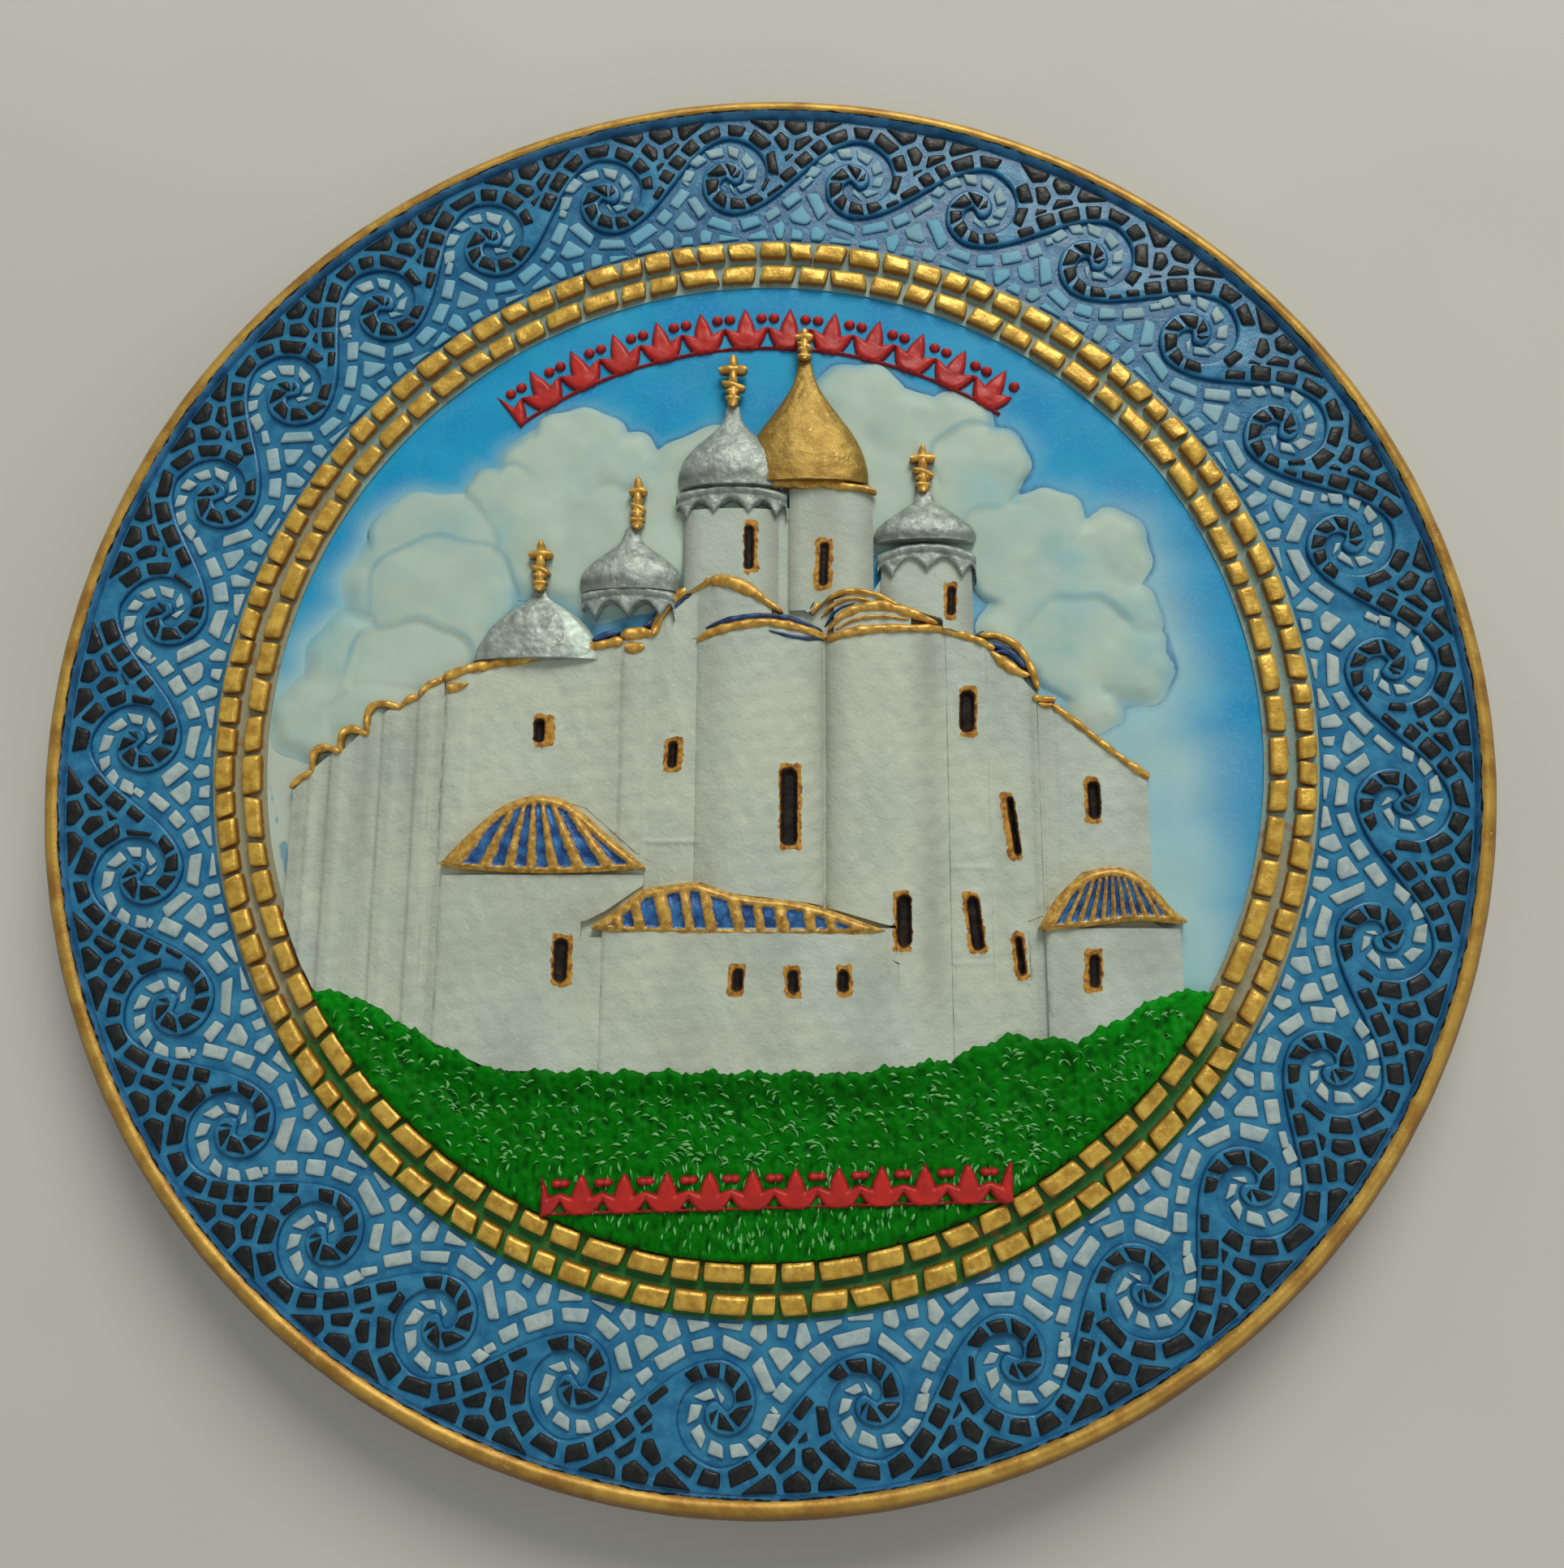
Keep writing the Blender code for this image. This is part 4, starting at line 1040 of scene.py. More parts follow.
def stroke_distance(points, x, y):
    """Distance from an open path."""
    near = np.full(np.shape(x), 1e9)
    for (ax, ay), (bx, by) in zip(points, points[1:]):
        dx, dy = bx - ax, by - ay
        t = np.clip(((x - ax) * dx + (y - ay) * dy) / max(dx * dx + dy * dy, 1e-9), 0, 1)
        near = np.minimum(near, (x - ax - t * dx) ** 2 + (y - ay - t * dy) ** 2)
    return np.sqrt(near)


def box_of(points, margin=1.0):
    """(left, bottom, right, top) round the points, with a margin."""
    points = np.asarray(points, float)
    low = points.min(0) - margin
    high = points.max(0) + margin
    return (low[0], low[1], high[0], high[1])


def dents(x, y, size, seed, waves=9):
    """Soft random relief between about -1 and 1, blots about size millimetres across."""
    dice = random.Random(seed)
    total = np.zeros(np.shape(x))
    for _ in range(waves):
        angle = dice.uniform(0, math.pi)
        pace = math.pi / (size * dice.uniform(0.7, 1.5))
        phase = dice.uniform(0, 2 * math.pi)
        total = total + np.sin(pace * (x * math.cos(angle) + y * math.sin(angle)) + phase)
    return total / math.sqrt(waves)


def relief(name, box, inside, height, base, material, nodes=(), marks=None, cell=0.3,
           sharp=60):
    """A moulded form: a fine grid cut where inside() is 0 and lifted to height()."""
    x0, y0, x1, y1 = box
    xs = np.arange(x0 - 1.5 * cell, x1 + 1.6 * cell, cell)
    ys = np.arange(y0 - 1.5 * cell, y1 + 1.6 * cell, cell)
    x, y = np.meshgrid(xs, ys, indexing="ij")
    kept = inside(x[:-1, :-1] + 0.5 * cell, y[:-1, :-1] + 0.5 * cell) > 0
    kept[0, :] = kept[-1, :] = False
    kept[:, 0] = kept[:, -1] = False
    around = np.zeros(x.shape, int)
    for i, j in ((0, 0), (0, 1), (1, 0), (1, 1)):
        around[i:i + kept.shape[0], j:j + kept.shape[1]] += kept
    border = (around > 0) & (around < 4)
    px, py = x[border], y[border]
    nudge = 0.05
    for _ in range(3):
        field = inside(px, py)
        gx = (inside(px + nudge, py) - inside(px - nudge, py)) / (2 * nudge)
        gy = (inside(px, py + nudge) - inside(px, py - nudge)) / (2 * nudge)
        pull = np.clip(field / np.maximum(gx * gx + gy * gy, 0.2), -0.7 * cell, 0.7 * cell)
        px = px - pull * gx
        py = py - pull * gy
    x[border], y[border] = px, py
    used = around > 0
    ids = np.full(x.shape, -1)
    ids[used] = np.arange(used.sum())
    ux, uy = x[used], y[used]
    depth = np.maximum(inside(ux, uy), 0.0)
    top = np.stack([ux, uy, height(ux, uy, depth)], -1)
    under = np.stack([ux, uy, np.full(ux.shape, base)], -1)
    count = len(top)
    i, j = np.nonzero(kept)
    a, b, c, d = ids[i, j], ids[i + 1, j], ids[i + 1, j + 1], ids[i, j + 1]
    faces = [np.stack([a, b, c, d], -1), np.stack([a, d, c, b], -1) + count]
    for di, dj, p, q in ((-1, 0, a, d), (0, -1, b, a), (1, 0, c, b), (0, 1, d, c)):
        edge = ~kept[i + di, j + dj]
        p, q = p[edge], q[edge]
        faces.append(np.stack([p, q, q + count, p + count], -1))
    painted = {}
    for mark, value in (marks or {}).items():
        values = value(ux, uy, depth)
        painted[mark] = np.concatenate([values, values])
    make_piece(name, np.concatenate([top, under]), np.concatenate(faces).tolist(), material,
               nodes, painted, sharp)


def eased(points, steps=6):
    """A smooth curve through given points (Catmull-Rom)."""
    points = [np.asarray(p, float) for p in points]
    padded = [2 * points[0] - points[1]] + points + [2 * points[-1] - points[-2]]
    curve = []
    for a, b, c, d in zip(padded, padded[1:], padded[2:], padded[3:]):
        for k in range(steps):
            t = k / steps
            curve.append(0.5 * (2 * b + (c - a) * t + (2 * a - 5 * b + 4 * c - d) * t * t
                                + (3 * b - a - 3 * c + d) * t ** 3))
    curve.append(points[-1])
    return np.array(curve)


def resampled(path, pace):
    """A plan path with evenly spaced points, about a pace apart."""
    path = np.asarray(path, float)
    length = np.concatenate([[0], np.cumsum(np.hypot(*np.diff(path, axis=0).T))])
    stops = np.linspace(0, length[-1], max(3, int(length[-1] / pace) + 1))
    return np.stack([np.interp(stops, length, path[:, i]) for i in (0, 1)], -1)


# Section of a gold band: (across in half widths, up in heights).
BEAD = [(-1.0, -1.0), (-0.95, 0.35), (-0.72, 0.8), (-0.35, 0.98), (0.0, 1.0), (0.35, 0.96),
        (0.72, 0.76), (0.95, 0.3), (1.0, -1.0)]


def beads(name, strokes, ground, lift, material, nodes=(), seed=1):
    """Raised gold bands along smooth plan paths; each stroke is (points, widths along it)."""
    dice = random.Random(seed)
    points, faces, paint = [], [], []
    for path, widths in strokes:
        path = resampled(eased(path), 0.35)
        along = np.gradient(path, axis=0)
        along /= np.maximum(np.linalg.norm(along, axis=1), 1e-9)[:, None]
        side = np.stack([-along[:, 1], along[:, 0]], -1)
        share = np.linspace(0, 1, len(path))
        half = 0.6 * np.interp(share, np.linspace(0, 1, len(widths)), widths)
        phase = dice.uniform(0, 6)
        half = half * (1 + 0.1 * np.sin(9 * share * len(path) / 20 + phase)
                       + 0.07 * np.sin(23 * share * len(path) / 20 + 2 * phase))
        ends = np.minimum(share, 1 - share) * len(path) * 0.35
        half = half * (0.35 + 0.65 * np.sqrt(np.clip(ends / 0.7, 0, 1)))
        floor_z = ground(path[:, 0], path[:, 1])
        start = len(points)
        for k in range(len(path)):
            swell = lift * (1 + 0.16 * math.sin(0.9 * k + phase)) * min(1.0, half[k] / 0.35 + 0.3)
            for across, up in BEAD:
                spot = path[k] + side[k] * across * half[k]
                rise = up * swell if up > 0 else -0.8
                points.append((spot[0], spot[1], floor_z[k] + rise))
                paint.append(max(up, 0.0))
        rows = id_rows(start, len(BEAD), len(path))
        faces += skin(rows) + [rows[0][::-1], rows[-1]]
    make_piece(name, points, faces, material, nodes, {"paint": paint}, sharp=75)


# ---- paints of the picture ----------------------------------------------------------
def whitewash():
    """White plaster with grey airbrushed shade, black window slots and brushed gold round them."""
    p = Paint("whitewash", 0.62, specular=0.3)
    white = p.mottle((206, 214, 196), (192, 202, 186), 0.3, 0.7, 9.0, 5.0, 0.6)
    white = p.mottle(white, (216, 222, 206), 0.55, 0.8, 1.0, 4.0, 0.6, seed=2.0)
    white = p.mottle(white, (150, 146, 130), 0.64, 0.78, 2.2, 6.0, 0.7, seed=7.0, strength=0.28)
    white = p.tint(white, (140, 184, 200), p.mark("cool"), 0.55)
    white = p.tint(white, (128, 124, 112), p.mark("shade"), 0.75)
    # Painted shade: thin dark lines at the upright edges of the walls.
    edge_shade = p.step(p.mark("edge_shade"), 0.2, 1.0)
    white = p.tint(white, (112, 116, 108), edge_shade, 0.22)
    gilt = p.mottle((206, 152, 56), (140, 84, 26), 0.35, 0.7, 0.8, 4.0)
    white = p.blend(p.ragged(p.mark("gilt"), 0.07, 0.6, 1.0), white, gilt)
    white = p.blend(p.ragged(p.math("ADD", p.mark("black"), 0.22), 0.08, 0.3, 0.9), white, (84, 48, 18))
    soot = p.mottle((18, 12, 8), (52, 32, 16), 0.5, 0.7, 1.4, 4.0, seed=9.0)
    colour = p.blend(p.ragged(p.mark("black"), 0.08, 0.22, 0.9), white, soot)
    grain = [(p.noise(0.5, 5.0, 0.65), 0.7, 0.2), (p.noise(1.6, 3.0), 0.6, 0.28),
             (p.step(p.cells(3.1), 0.0, 0.09), 0.35, 0.15)]
    return p.finish(colour, grain)


def sky_paint():
    p = Paint("sky_blue", 0.5, specular=0.25)
    blue = p.mottle((4, 144, 206), (18, 164, 212), 0.3, 0.7, 12.0, 4.0)
    blue = p.mottle(blue, (28, 166, 212), 0.45, 0.75, 0.5, 3.0)
    stray = p.math("MULTIPLY", p.math("SUBTRACT", p.noise(7.0, 4.0), 0.5), 0.25)
    pale = p.math("ADD", p.mark("pale"), stray, clamp=True)
    colour = p.blend(pale, blue, (178, 214, 214))
    # Painted shadow: a darker blue line just outside the clouds' edges.
    colour = p.tint(colour, (16, 104, 158), p.mark("line"), 0.75)
    colour = p.blend(p.mark("white"), colour, (196, 208, 194))
    colour = p.tint(colour, (86, 152, 186), p.ragged(p.mark("drip"), 0.2, 0.5, 1.2), 0.7)
    return p.finish(colour, [(p.noise(0.5, 4.0, 0.6), 0.2, 0.1), (p.noise(2.0), 0.25, 0.15)])


def cloud_paint():
    p = Paint("cloud_white", 0.6, specular=0.25)
    white = p.mottle((196, 214, 198), (182, 202, 188), 0.3, 0.7, 8.0, 5.0)
    white = p.mottle(white, (156, 198, 198), 0.45, 0.75, 14.0, 3.0, seed=4.0)
    white = p.tint(white, (96, 166, 196), p.mark("cool"), 0.85)
    # Painted shadow where a puff lies over the one behind it.
    white = p.tint(white, (92, 158, 182), p.mark("edge_shade"), 0.55)
    return p.finish(white, [(p.noise(0.5, 5.0, 0.6), 0.2, 0.1), (p.noise(2.2), 0.3, 0.2)])


def trim_gold():
    p = Paint("trim_gold", 0.4, 0.35)
    gold = p.mottle((230, 182, 82), (186, 134, 50), 0.3, 0.7, 1.2, 4.0)
    gold = p.mottle(gold, BRIGHT_GOLD, 0.56, 0.78, 0.6, 4.0, 0.6, seed=2.0)
    colour = p.blend(p.cover(0.25, 0.12, 0.3, 0.8), (140, 96, 40), gold)
    return p.finish(colour, [(p.noise(0.5, 4.0), 0.3, 0.1), (p.noise(1.6), 0.3, 0.15)])


def shadow_blue():
    """The dark blue brush lines that the painter left beside the gold."""
    p = Paint("shadow_blue", 0.45)
    blue = p.mottle((18, 40, 78), (34, 78, 132), 0.35, 0.65, 1.5, 4.0)
    blue = p.mottle(blue, (150, 128, 72), 0.6, 0.75, 0.8, 4.0, strength=0.4)
    return p.finish(blue, [(p.noise(0.6, 4.0), 0.4, 0.15)])


def roof_paint():
    """Gold ribs and frame over blue panels."""
    p = Paint("roof_paint", 0.4, 0.2)
    blue = p.mottle((24, 66, 128), (56, 120, 182), 0.35, 0.65, 1.8, 4.0)
    blue = p.mottle(blue, (120, 172, 206), 0.6, 0.72, 0.7, 4.0, strength=0.4)
    gold = p.mottle((228, 182, 84), (172, 122, 44), 0.3, 0.7, 0.9, 4.0)
    gold = p.mottle(gold, BRIGHT_GOLD, 0.58, 0.78, 0.5, 4.0, seed=3.0)
    colour = p.blend(p.ragged(p.mark("gilt"), 0.1, 0.3, 0.7), blue, gold)
    return p.finish(colour, [(p.noise(0.5, 4.0), 0.4, 0.12), (p.noise(1.5), 0.4, 0.2)])


def foil():
    """Silver leaf: crinkled, with duller grey painted shade."""
    p = Paint("silver_foil", 0.45, 0.45)
    leaf = p.mottle((176, 186, 177), (146, 156, 149), 0.35, 0.65, 1.4, 5.0)
    leaf = p.mottle(leaf, (212, 220, 210), 0.58, 0.75, 0.5, 4.0, seed=2.0)
    # Painted shade: duller grey low on the domes and under the cornice bands.
    leaf = p.tint(leaf, (100, 104, 98), p.mark("dome_shade"), 0.8)
    leaf = p.blend(p.ragged(p.mark("bare"), 0.2, 0.5, 2.0), leaf, (186, 200, 190))
    crinkle = p.cells(0.7, "SMOOTH_F1")
    rough = p.step(p.noise(1.0, 3.0), -1.0, 2.0)
    return p.finish(leaf, [(crinkle, 0.35, 0.22), (p.noise(0.6, 5.0, 0.7), 0.45, 0.16),
                           (p.noise(2.2, 3.0), 0.4, 0.3)], rough)


def gilded():
    p = Paint("dome_gold", 0.42, 0.55)
    gold = p.mottle((172, 142, 66), (142, 112, 46), 0.3, 0.7, 2.0, 4.0)
    gold = p.mottle(gold, (214, 184, 108), 0.55, 0.75, 0.7, 5.0, 0.65, seed=2.0)
    # Painted shade: browner on the dome's left side and low down.
    gold = p.tint(gold, (142, 92, 26), p.mark("dome_shade"), 0.6)
    return p.finish(gold, [(p.noise(0.6, 5.0, 0.7), 0.5, 0.2), (p.noise(1.8), 0.4, 0.25)])


def lawn_paint():
    p = Paint("lawn_green", 0.5, specular=0.1)
    green = p.mottle((0, 106, 0), (0, 122, 6), 0.3, 0.7, 3.0, 4.0)
    green = p.tint(green, (4, 158, 20), p.mark("sunny"), 0.6)
    # Painted shade: darker green in the hollows of the tufts.
    green = p.tint(green, (0, 60, 6), p.step(p.mark("hollow_shade"), 0.1, 0.9), 0.6)
    fleck = p.step(p.noise(0.9, 4.0, 0.6, stretch=(1.0, 0.8, 1.0), seed=5.0), 0.63, 0.7)
    green = p.tint(green, (70, 160, 84), fleck, 0.4)
    return p.finish(green, [(p.noise(0.6, 4.0), 0.5, 0.25), (p.noise(1.7), 0.5, 0.4)])


def grass_paint():
    p = Paint("grass_flecks", 0.45, specular=0.3)
    green = p.mottle((48, 150, 52), (128, 200, 122), 0.35, 0.65, 1.0, 4.0)
    colour = p.blend(p.cover(0.4, 0.2, 0.5, 0.6), (8, 118, 20), green)
    return p.finish(colour, [(p.noise(0.5, 3.0), 0.3, 0.1)])


def red_enamel():
    p = Paint("red_enamel", 0.36, specular=0.3)
    red = p.mottle((206, 48, 38), (180, 42, 38), 0.3, 0.7, 2.2, 4.0)
    red = p.mottle(red, (150, 92, 86), 0.68, 0.72, 1.2, 5.0, 0.7, seed=3.0, strength=0.6)
    edge = p.ragged(p.math("SUBTRACT", 0.22, p.mark("depth")), 0.08, 0.15, 0.8)
    red = p.tint(red, (110, 34, 44), edge, 0.7)
    return p.finish(red, [(p.noise(0.6, 3.0), 0.25, 0.1), (p.noise(1.8), 0.4, 0.25)])


# ---- sky, clouds and lawn -----------------------------------------------------------
# Each puff of cloud is (x, y, radius).
PUFFS = [(-27.0, 43.6, 7.2), (-32.5, 39.5, 7.2), (-20.0, 41.0, 5.6), (-38.0, 36.0, 5.6), (-48.0, 28.5, 9.4),
         (-41.0, 29.0, 6.0), (-53.5, 23.0, 7.4), (-46.0, 20.0, 10.5), (-58.0, 11.0, 8.0),
         (-50.0, 9.0, 9.0), (-63.0, 3.0, 7.0), (-54.0, 1.0, 8.0), (-30.0, 30.0, 10.0),
         (-21.0, 28.0, 11.0), (-8.0, 37.0, 10.0), (14.0, 50.6, 7.0), (9.0, 43.0, 8.0), (21.5, 45.5, 7.4),
         (27.5, 44.6, 7.6), (32.0, 40.5, 7.0), (18.0, 36.0, 9.0), (30.0, 33.0, 8.6), (41.0, 31.5, 5.8),
         (36.0, 27.0, 8.0), (49.5, 27.2, 6.6), (44.0, 22.0, 8.4), (50.2, 17.8, 6.4), (52.0, 10.6, 6.4),
         (45.0, 13.0, 8.0), (38.0, 16.0, 7.0), (46.6, 4.4, 4.2)]
# Overspray without clouds beside the walls: (x, y, radius).
HAZE = [(-64.5, 1.0, 8.5), (-63.0, -9.0, 7.0), (-62.5, -18.0, 7.0), (-60.5, -27.0, 6.5), (48.0, 2.0, 7.0),
        (50.0, -8.0, 8.5), (50.5, -19.0, 9.5), (52.0, -30.0, 9.0)]


def puff_depths(x, y, puffs):
    """Distance inside each puff, whose rim is a little lumpy; upper puffs come first."""
    for k, (cx, cy, radius) in enumerate(sorted(puffs, key=lambda puff: -puff[1])):
        turn = np.arctan2(y - cy, x - cx)
        lumps = 1 + 0.05 * np.sin(3 * turn + 2.1 * k) + 0.035 * np.sin(7 * turn + 1.3 * k)
        yield k, radius * lumps - np.hypot(x - cx, y - cy)


def cloud_field(x, y, puffs=PUFFS):
    """Distance inside the union of the puffs."""
    best = np.full(np.shape(x), -1e9)
    for _, depth in puff_depths(x, y, puffs):
        best = np.maximum(best, depth)
    return best


def cloud_height(x, y, depth):
    """Pillows that overlap like scales, the lower ones in front."""
    height = np.zeros(np.shape(x))
    for k, d in puff_depths(x, y, PUFFS):
        share = smooth(0.0, 0.8 if k % 3 == 0 else 3.0, d)
        own = 0.3 + 0.09 * ((k * 7) % 4) + 0.3 * (1 - np.exp(-np.maximum(d, 0) / 2.2))
        height = height + share * (own - height)
    return SKY_Z + 0.05 + height * smooth(0.0, 0.6, depth) + 0.05 * dents(x, y, 4.0, 3)


def cloud_edge_shade(x, y, depth):
    """Blue-grey shadow where a puff lies over the one behind it."""
    line = np.zeros(np.shape(x))
    for k, d in puff_depths(x, y, PUFFS):
        line = line * (1 - smooth(-0.1, 0.6, d))
        line = np.maximum(line, np.exp(-((d + 0.25) / 0.4) ** 2) * (0.9 if k % 3 == 0 else 0.12))
    broken = smooth(-0.7, 0.5, dents(x, y, 9.0, 6))
    return line * broken * smooth(-0.2, 0.6, depth)


def clouds(material):
    def cool(x, y, depth):
        near_edge = 1 - smooth(0.1, 1.9, depth)
        return np.clip(near_edge * (0.4 + 0.3 * dents(x, y, 9.0, 12)), 0, 1)

    inside = lambda x, y: np.minimum(cloud_field(x, y), SKY_RADIUS - 0.3 - np.hypot(x, y))
    relief("cloud_bank", (-70.5, -34.0, 60.0, 59.0), inside, cloud_height, SKY_Z - 0.2, material,
           ["cloud_bank"], {"cool": cool, "edge_shade": cloud_edge_shade}, cell=0.4)


def sky(material):
    """The sky disc; it pales towards the clouds and the walls, and has a painted shadow line just outside
    the clouds.
    """
    rings = 150
    steps = 600
    points = []
    for k in range(1, rings + 1):
        points += [(*spot, SKY_Z) for spot in ring(SKY_RADIUS * k / rings, steps)]
    xyz = np.array(points)
    x, y = xyz[:, 0], xyz[:, 1]
    off = np.maximum(-cloud_field(x, y, PUFFS + HAZE), 0)
    turn = np.degrees(np.arctan2(y, x))
    reach = np.interp(turn, [-180, -30, 0, 25, 50, 90, 130, 160, 180],
                      [4, 6, 6.5, 4.2, 1.9, 1.3, 1.4, 2.4, 4])
    glow = np.interp(turn, [-180, 0, 20, 40, 90, 130, 160, 180],
                     [0.86, 0.82, 0.7, 0.3, 0.25, 0.4, 0.75, 0.86])
    pale = glow * np.exp(-((off + 0.2) / reach) ** 1.5)
    bank = np.maximum(-cloud_field(x, y), 0)
    # Painted shadow: a darker blue line just outside the clouds, strongest high up and to the right.
    line = np.exp(-((bank - 0.15) / 0.35) ** 2) * smooth(-6, 12, y) * smooth(-30, 20, x + 0.6 * y)
    line = line * (0.5 + 0.5 * smooth(-0.6, 0.4, dents(x, y, 7.0, 23)))
    white = smooth(-60.5, -64.5, x) * smooth(6, -2, y)
    drips = np.minimum(stroke_distance([(-70.5, 0.5), (-69.2, -6.5), (-67.6, -12.0)], x, y) + 0.2,
                       stroke_distance([(-66.6, -15.0), (-65.6, -18.5), (-63.2, -24.5)], x, y) - 0.35)
    xyz[:, 2] += 0.05 * dents(x, y, 6.0, 21)
    rows = id_rows(0, steps, rings)
    faces = skin(rows, flipped=True) + [rows[0]]
    make_piece("sky_disc", xyz, faces, material, ["sky_disc"],
               {"pale": np.clip(pale, 0, 1), "line": np.clip(line, 0, 1), "white": white,
                "drip": 0.25 - drips})


def lawn_edge(x):
    """Upper edge of the lawn, ragged like brushed grass."""
    outline = np.array(outline_of("lawn"))
    places = np.linspace(outline[:, 0].min() + 0.02, outline[:, 0].max() - 0.02, 400)
    rag = 0.12 * np.sin(3.1 * x) + 0.1 * np.sin(5.3 * x + 1.0) + 0.28 * np.sin(1.1 * x + 2.0)
    return np.interp(x, places, edges_at(outline, places)[1]) + 0.15 + rag


def lawn(material):
    low, high = span("lawn")
    knots = np.linspace(low.x - 1, high.x + 1, 900)
    edge_line = lawn_edge(knots)
    edge = lambda x: np.interp(x, knots, edge_line)
    inside = lambda x, y: np.minimum(edge(x) - y, SKY_RADIUS + 0.1 - np.hypot(x, y))

    def tufts(x, y):
        grass = smooth(-52.0, -60.0, y)
        clumps = dents(x, y, 0.75, 31) * 0.6 + dents(x, y, 1.6, 32) * 0.6
        blades = dents(x, y * 0.28, 0.42, 33)
        return (1 - grass) * clumps + grass * (0.4 * clumps + 0.8 * blades)

    def height(x, y, depth):
        rise = high.z - 0.9 + 0.5 * np.cos(x * math.pi / 130)
        over = np.maximum(foot_of_walls(x) + 0.35 - rise, 0) * (1 - smooth(0.6, 5.0, depth))
        rim = (1 - smooth(0.0, 0.7, depth)) ** 2
        return rise + over * smooth(-55, -48, y) + 0.2 * tufts(x, y) - 0.35 * rim

    # Painted shade in the hollows between the tufts.
    def hollow_shade(x, y, depth):
        return np.clip(-0.8 * tufts(x, y), 0, 1)

    def sunny(x, y, depth):
        strip = np.exp(-(((edge(x) - y) - 1.2) / 1.1) ** 2) * smooth(40, 50, np.abs(x))
        slope = smooth(38, 54, x) * smooth(-54, -42, y) * 0.5
        return np.clip(strip + slope, 0, 1)

    relief("lawn", (low.x - 2, low.y - 0.5, high.x + 2, high.y + 1.5), inside, height, SKY_Z - 0.2,
           material, ["lawn"], {"hollow_shade": hollow_shade, "sunny": sunny}, cell=0.32)
    grass_flecks(edge, height, inside)


def grass_flecks(edge, height, inside):
    """Small curved flecks of paler paint that catch the light on the lawn."""
    dice = random.Random(77)
    points, faces, paint = [], [], []
    for _ in range(1700):
        x = dice.uniform(-58, 58)
        y = dice.uniform(-69, -37)
        room = float(inside(np.array(x), np.array(y)))
        if room < 1.2:
            continue
        blade = y < -58
        size = dice.uniform(0.35, 0.72)
        bend = dice.uniform(0.2, 1.0) * (0.25 if blade else 1.0)
        turn = dice.uniform(1.2, 1.9) if blade else dice.gauss(-0.2, 0.5)
        half = dice.uniform(0.14, 0.3)
        z = float(height(np.array(x), np.array(y), np.array(room)))
        start = len(points)
        steps = 7
        for k in range(steps):
            s = 2 * k / (steps - 1) - 1
            fat = half * (1 - 0.85 * s * s)
            px, py = s * size, bend * size * (1 - s * s) * 0.6
            for side, up in ((-1, -0.35), (-0.45, 0.2), (0.45, 0.2), (1, -0.35)):
                qx, qy = px, py + side * fat
                points.append((x + qx * math.cos(turn) - qy * math.sin(turn),
                               y + qx * math.sin(turn) + qy * math.cos(turn), z + 0.1 + up * 0.6))
                paint.append(1.0 if up > 0 else 0.0)
        rows = id_rows(start, 4, steps)
        faces += skin(rows, flipped=True) + [rows[0], rows[-1][::-1]]
    make_piece("grass_flecks", points, faces, grass_paint(), [], {"paint": paint}, 80)


# ---- the building -------------------------------------------------------------------
# Windows: (x, y, width, height) of the gilt frame, then the black slot's offset and width and
# the lean of both (sideways per millimetre upwards).
WINDOWS = [(-30.3, 0.9, 3.0, 4.8, -0.7, 1.3, 0.0), (-11.9, -2.6, 2.6, 5.2, -0.3, 1.0, 0.05),
           (4.0, -10.3, 3.1, 12.2, 0.1, 2.0, 0.0), (19.6, -26.0, 2.4, 8.4, 0.05, 1.7, 0.0),
           (28.8, 3.4, 2.4, 7.4, 0.1, 1.8, 0.02), (34.6, -12.8, 2.0, 9.6, 0.35, 0.7, -0.12),
           (29.2, -26.2, 2.4, 8.6, 0.1, 1.4, -0.1), (35.0, -30.6, 1.9, 6.6, 0.3, 0.7, -0.1),
           (46.0, -9.2, 2.2, 6.6, 0.0, 1.4, 0.0), (-26.8, -31.3, 2.9, 7.2, 0.1, 1.6, 0.0),
           (-2.7, -34.0, 2.3, 4.4, 0.0, 1.2, 0.05), (4.6, -34.2, 2.3, 4.4, 0.1, 1.2, -0.05),
           (11.4, -34.1, 2.2, 4.4, 0.0, 1.2, 0.0), (44.9, -32.7, 2.5, 5.8, 0.0, 1.2, 0.03),
           (-1.7, 27.6, 2.0, 8.0, 0.0, 1.1, 0.0), (9.2, 25.0, 2.6, 7.8, -0.2, 1.0, 0.04),
           (26.7, 19.4, 1.9, 5.6, 0.3, 0.9, 0.05)]
WALL_Z = top_of("north_wall")
WALL_BASE = SKY_Z - 0.1         # where the walls' undersides lie, just in the sky
# Rounded walls: (left, right, how far the middle stands out).
LEFT_APSE = (-8.9, 8.9, 1.7)
RIGHT_APSE = (9.1, 25.9, 1.5)
LOW_APSES = {"north_apse": (-46.0, -14.0, 0.9), "chancel_apse": (-30.0, 29.0, 1.5),
             "south_low_apse": (36.5, 59.5, 0.9)}
CHANCEL_SIDES = (-21.2, 20.2)
# Upright edges in the walls: (x, step up to the right of it).
EDGES = [(-63.0, 0.25), (-61.9, -0.3), (-60.2, 0.35), (-58.4, -0.2), (-56.0, -0.3), (-53.1, 0.4),
         (-51.2, -0.25), (-48.2, 0.35), (-46.2, -0.45), (-44.4, 0.35), (-40.9, -0.22), (-19.4, 0.3),
         (-16.2, -0.62),
         (26.0, 0.22), (31.7, -0.4), (37.8, 0.2), (39.2, -0.3), (41.2, 0.15)]


